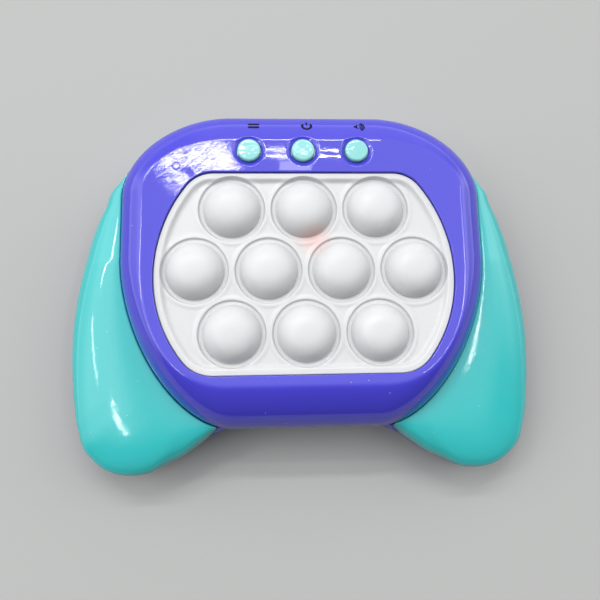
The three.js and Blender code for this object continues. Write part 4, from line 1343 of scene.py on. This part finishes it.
# Cells: three AAA cells in a printed film jacket rolled over their steel ends, lying head to tail
# between nickel plated contact plates.
cell_length = 44.5 * mm
jacket_band = 8 * mm
jacket_radius = 4.68 * mm
cell_profile = np.array([
    (0, 0.3), (2.8, 0.3), (3.1, 0.05), (3.4, 0), (3.7, 0.05), (3.9, 0.35), (4.65, 0.35),
    (4.75, 0.1), (4.95, 0.05), (5.15, 0.2), (5.25, 0.5), (5.25, 14), (5.25, 28), (5.25, 35.7),
    (5.25, 39.5), (5.25, 43.1), (5.15, 43.45), (4.95, 43.6), (4.75, 43.55), (4.65, 43.3),
    (2.4, 43.3), (2.15, 43.4), (1.95, 43.7), (1.9, 44.2), (1.75, 44.42), (1.5, 44.5), (0, 44.5),
]) * mm


def cell_film(name, colour, deep):
    """Printed film: a metallic colour under clear lacquer, with faint creases along the cell."""
    material, tree, shader = new_material(name)
    along = node(tree, "ShaderNodeMapping", {
        "Vector": own_place(tree), "Scale": (60.0, 900.0, 900.0)})
    streaks = cloudy(tree, along.outputs["Vector"], 1.0, 3.0)
    tree.links.new(mixed(tree, streaks, colour, deep), shader.inputs["Base Color"])
    handled(tree, shader, 0.22, 0.36)
    bumped(tree, shader, streaks, 0.1 * mm, 0.4)
    shader.inputs["Metallic"].default_value = 0.5
    return material


nickel = moulded(
    "nickel_plate", (0.66, 0.65, 0.62), (0.54, 0.53, 0.51), clean=0.2, smudged=0.4, ripple=0.25,
    ripple_length=0.7, metal=1.0)
blue_film = cell_film("blue_film", (0.03, 0.12, 0.42), (0.02, 0.09, 0.34))
copper_film = cell_film("copper_film", (0.62, 0.33, 0.16), (0.5, 0.25, 0.12))
for row in range(3):
    low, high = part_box(f"battery_{row + 1}")
    lying = Matrix.Rotation((-math.pi if row == 1 else math.pi) / 2, 4, "Y")
    cell = turned(f"cell_{row + 1}", cell_profile, steps=72, sharp=50)
    for face in cell.data.polygons:
        if face.center.to_2d().length > jacket_radius:
            face.material_index = int(face.center.z >= cell_length - jacket_band)
        else:
            face.material_index = 2
    for finish in (blue_film, copper_film, nickel):
        cell.data.materials.append(finish)
    shifted(cell, (0, 0, -cell_length / 2))
    cell.data.transform(Matrix.Translation((low + high) / 2) @ lying)
    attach(cell, "housing")
    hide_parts(f"battery_{row + 1}")
dressed(["contact_positive", "contact_negative", "contact_link_1", "contact_link_2"], nickel)

# Battery door: a violet ABS plate in a recess of the rear cover. Ribs give the thumb a hold beside
# the tongue, where its screw sits in a sunk hole, and it swings up about its far edge.
door_low, door_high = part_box("battery_door")
door_screw = middle_of("battery_door_screw")
door_edge = 0.35 * mm
door_bevel = 0.2 * mm
door_sink = 1.1 * mm
door_sink_radius = 2.6 * mm
door_hole = 1.4 * mm
rib_places = np.array([20.6, 18.8, 17.0, 15.2, 13.4]) * mm
rib_length = 13 * mm
rib_width = 0.8 * mm
rib_height = 0.24 * mm


def rib_tree():
    """A tree that lays a long, low rounded rib along y at each point of a mesh."""
    tree, given = new_tree("thumb_ribs", {"Length": "Float", "Width": "Float", "Height": "Float"})
    bead = node(tree, "GeometryNodeMeshUVSphere", {"Segments": 24, "Rings": 16, "Radius": 1.0})
    size = node(tree, "ShaderNodeCombineXYZ", {
        "X": calculated(tree, "MULTIPLY", given["Width"], 0.5),
        "Y": calculated(tree, "MULTIPLY", given["Length"], 0.5), "Z": given["Height"]})
    rib = node(tree, "GeometryNodeTransform", {
        "Geometry": bead.outputs["Mesh"], "Scale": size.outputs["Vector"]})
    return stood(tree, given, rib.outputs["Geometry"])


def door_ring(inset, height):
    return lifted(rounded_ring(door_low, door_high, door_corner, inset, 10), height)


def battery_door():
    rings = [
        door_ring(door_edge * (1 - math.sin(turn)), door_low.z + door_edge * (1 - math.cos(turn)))
        for turn in np.linspace(0, np.pi / 2, 6)]
    rings += [door_ring(0, door_high.z - door_bevel), door_ring(door_bevel, door_high.z)]
    door = stacked("door_plate", rings)
    ribs = grown("thumb_ribs", rib_tree(), [(x, door_screw.y, door_low.z) for x in rib_places], {
        "Length": rib_length, "Width": rib_width, "Height": rib_height, "Finish": violet_abs})
    combined(door, "UNION", [ribs])
    mouth = door_sink_radius + door_edge
    sink = turned("sink", [
        (0, -mm), (mouth, -mm), (mouth, door_low.z), (door_sink_radius, door_low.z + door_edge),
        (door_sink_radius, door_low.z + door_sink), (0, door_low.z + door_sink)], steps=48)
    return combined(door, "DIFFERENCE", [
        shifted(sink, (door_screw.x, door_screw.y, 0)), bars([door_screw], door_hole, 0, 4 * mm)])


door = evened(battery_door())
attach(door, "battery_door")
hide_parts("battery_door")

# Screws: plated self-tapping screws with a cross recess, put in from behind. Six hold the covers,
# four the board, and a flat one the battery door.


def screw_tree():
    """A tree that sets a screw at each point, head down, with the point under the head's seat."""
    tree, given = new_tree("tapping_screws", dict.fromkeys(
        ("Radius", "Length", "Head Radius", "Head Height", "Crown Radius", "Pitch"), "Float"))

    def sum_of(a, share_a, b=0.0, share_b=0.0):
        """One size times its share, plus another times its own."""
        first = calculated(tree, "MULTIPLY", a, share_a)
        return node(tree, "ShaderNodeMath", {
            0: b, 1: share_b, 2: first}, operation="MULTIPLY_ADD").outputs[0]

    def joined(operation, shapes, body=None):
        result = node(tree, "GeometryNodeMeshBoolean", operation=operation, solver="MANIFOLD")
        if body:
            tree.links.new(body, result.inputs["Mesh 1"])
        for shape in shapes:
            tree.links.new(shape, result.inputs["Mesh 2"])
        return result.outputs["Mesh"]

    def shape(kind, height, **sizes):
        values = {name.replace("_", " "): size for name, size in sizes.items()}
        return raised(tree, node(tree, f"GeometryNode{kind}", values).outputs["Mesh"], height)

    radius, length, crown = given["Radius"], given["Length"], given["Crown Radius"]
    head, height = given["Head Radius"], given["Head Height"]
    core = sum_of(radius, 0.78)
    shank_length = sum_of(length, 1.0, radius, -0.9)
    shank = shape(
        "MeshCylinder", sum_of(shank_length, 0.5, radius, -0.1), Vertices=24, Radius=core,
        Depth=shank_length)
    tip = shape(
        "MeshCone", sum_of(length, 1.0, radius, -1.2), Vertices=24, Radius_Top=sum_of(radius, 0.12),
        Radius_Bottom=core, Depth=sum_of(radius, 1.2))
    thread_length = sum_of(length, 1.0, radius, -1.6)
    helix = node(tree, "GeometryNodeCurveSpiral", {
        "Resolution": 20, "Rotations": calculated(tree, "DIVIDE", thread_length, given["Pitch"]),
        "Start Radius": core, "End Radius": core, "Height": thread_length})
    wire = node(tree, "GeometryNodeCurvePrimitiveCircle", {
        "Resolution": 4, "Radius": sum_of(radius, 0.22)})
    thread = node(tree, "GeometryNodeCurveToMesh", {
        "Curve": helix.outputs["Curve"], "Profile Curve": wire.outputs["Curve"], "Fill Caps": True})
    thread = raised(tree, thread.outputs["Mesh"], sum_of(radius, 0.5))
    blank = shape("MeshCylinder", sum_of(height, -0.5), Vertices=48, Radius=head, Depth=height)
    ball = shape(
        "MeshUVSphere", sum_of(crown, 1.0, height, -1.0), Segments=96, Rings=64, Radius=crown)
    long, thin, deep = sum_of(head, 1.15), sum_of(head, 0.27), sum_of(height, 1.2)
    cuts = []
    for wide, high in ((long, thin), (thin, long)):
        size = node(tree, "ShaderNodeCombineXYZ", {"X": wide, "Y": high, "Z": deep})
        cuts.append(shape("MeshCube", sum_of(height, -1.0), Size=size.outputs["Vector"]))
    crossed = joined("DIFFERENCE", cuts, joined("INTERSECT", [blank, ball]))
    return stood(tree, given, joined("UNION", [crossed, shank, tip, thread]))


screws = screw_tree()
case_screws = [f"case_screw_{k + 1}" for k in range(6)]
board_screws = [f"board_screw_{k + 1}" for k in range(4)]
for name, body, nodes, *sizes in (
        ("case_screws", "housing", case_screws, 1.2, 2.7, 2, 3.5, 0.95),
        ("board_screws", "housing", board_screws, 1.1, 2.3, 1.8, 3.0, 0.85),
        ("door_screw", "battery_door", ["battery_door_screw"], 1.1, 2.3, 0.7, 9.0, 0.8)):
    radius, head, height, crown, pitch = (size * mm for size in sizes)
    boxes = [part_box(each) for each in nodes]
    places = [(*((low + high) / 2).to_2d(), low.z + height) for low, high in boxes]
    length = boxes[0][1].z - boxes[0][0].z - height
    piece = grown(name, screws, places, {
        "Radius": radius, "Length": length, "Head Radius": head, "Head Height": height,
        "Crown Radius": crown, "Pitch": pitch, "Finish": nickel})
    piece.data.shade_smooth()
    piece.data.set_sharp_from_angle(angle=math.radians(30))
    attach(piece, body)
    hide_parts(*nodes)

# Floor and light: a plain pale floor, soft panels above and to both sides, a small hot softbox
# behind on the left, and thin lamp tubes that show in the glossy covers. The front gets less light.
floor_mesh = bpy.data.meshes.new("floor")
floor_half = 3.0
floor_corners = [
    (x * floor_half, y * floor_half, 0) for x, y in ((-1, -1), (1, -1), (1, 1), (-1, 1))]
floor_mesh.from_pydata(floor_corners, [], [(0, 1, 2, 3)])
floor = bpy.data.objects.new("floor", floor_mesh)
bpy.context.scene.collection.objects.link(floor)
floor_paint, floor_tree, floor_shader = new_material("pale_floor")
rays = node(floor_tree, "ShaderNodeLightPath").outputs
seen = rays["Is Camera Ray"]
for kind in ("Is Glossy Ray", "Is Transmission Ray"):
    seen = calculated(floor_tree, "MAXIMUM", seen, rays[kind])
paint = mixed(floor_tree, seen, (0.12, 0.12, 0.12), (0.36, 0.365, 0.36))
floor_tree.links.new(paint, floor_shader.inputs["Base Color"])
floor_shader.inputs["Roughness"].default_value = 0.9
floor_shader.inputs["Specular IOR Level"].default_value = 0.1
floor_mesh.materials.append(floor_paint)


def lamp(name, start, stop, width, level):
    """A flat lamp between the middles of its ends. It faces the game, level times as bright as
    white."""
    start, stop = Vector(start), Vector(stop)
    middle = (start + stop) / 2
    side = (stop - start).cross(middle).normalized()
    data = bpy.data.lights.new(name, "AREA")
    data.shape = "RECTANGLE"
    data.size = width
    data.size_y = (stop - start).length
    data.energy = level * math.pi * data.size * data.size_y
    held = bpy.data.objects.new(name, data)
    turn = Matrix((side, middle.normalized().cross(side), middle.normalized())).transposed()
    held.matrix_world = Matrix.Translation(middle) @ turn.to_4x4()
    bpy.context.scene.collection.objects.link(held)


lamp("hot_box", (-0.235, 0.478, 1.08), (-0.075, 0.480, 1.08), 0.062, 38)
lamp("upper_tube", (-0.02, 0.5036, 1.08), (0.16, 0.5036, 1.08), 0.003, 50)
lamp("lower_tube", (-0.02, 0.489, 1.08), (0.16, 0.489, 1.08), 0.003, 50)
lamp("button_box", (0.02, 0.462, 1.08), (0.09, 0.462, 1.08), 0.03, 5)
lamp("crease_tube", (-0.55, 0.60, 0.98), (0.25, 0.62, 0.98), 0.06, 26)
lamp("left_tube", (-0.47, 0.36, 1.02), (-0.8, 0.08, 0.852), 0.022, 36)
lamp("left_low_tube", (-0.897, 0.012, 0.713), (-0.736, -0.219, 0.857), 0.02, 14)
lamp("left_glint", (-0.594, -0.285, 1.0), (-0.497, -0.417, 1.0), 0.03, 24)
lamp("right_tube", (0.425, 0.40, 0.99), (0.40, -0.14, 1.05), 0.015, 34)
world = bpy.data.worlds.new("studio")
world.use_nodes = True
sky = world.node_tree
towards = node(sky, "ShaderNodeTexCoord").outputs["Generated"]
side = node(sky, "ShaderNodeSeparateXYZ", {"Vector": towards}).outputs


def soft_panel(level, *edges):
    """Light from a part of the sky between soft edges: an axis, where the edge starts and stops,
    and its brightness on either side."""
    light = level
    for axis, *edge in edges:
        share = ranged(sky, side[axis], *edge, "SMOOTHSTEP")
        light = calculated(sky, "MULTIPLY", share, light)
    return light


panels = [
    soft_panel(1.4, ("Y", -0.5, 0.05, 0, 1), ("Y", 0.45, 0.9, 1, 0.6), ("X", -0.4, -0.15, 0, 1),
               ("X", 0.45, 0.65, 1, 0)),
    soft_panel(2.5, ("X", -0.42, -0.18, 1, 0), ("X", -0.98, -0.75, 0.5, 1),
               ("Y", -0.5, -0.14, 0, 1), ("Y", 0.4, 0.75, 1, 0.2)),
    soft_panel(2.7, ("X", 0.48, 0.62, 0, 1), ("X", 0.8, 0.98, 1, 0.4),
               ("Y", -0.25, 0.25, 0, 1), ("Y", 0.4, 0.7, 1, 0.2)),
    soft_panel(0.6, ("Z", 0.0, 0.16, 1, 0), ("Y", -0.7, -0.2, 0, 1)),
]
room = 0.03
for panel in panels:
    room = calculated(sky, "ADD", panel, room)
sky.links.new(room, sky.nodes["Background"].inputs["Strength"])
sky.nodes["Background"].inputs["Color"].default_value = (1, 1, 1, 1)
bpy.context.scene.world = world
bpy.context.scene.view_settings.view_transform = "Standard"
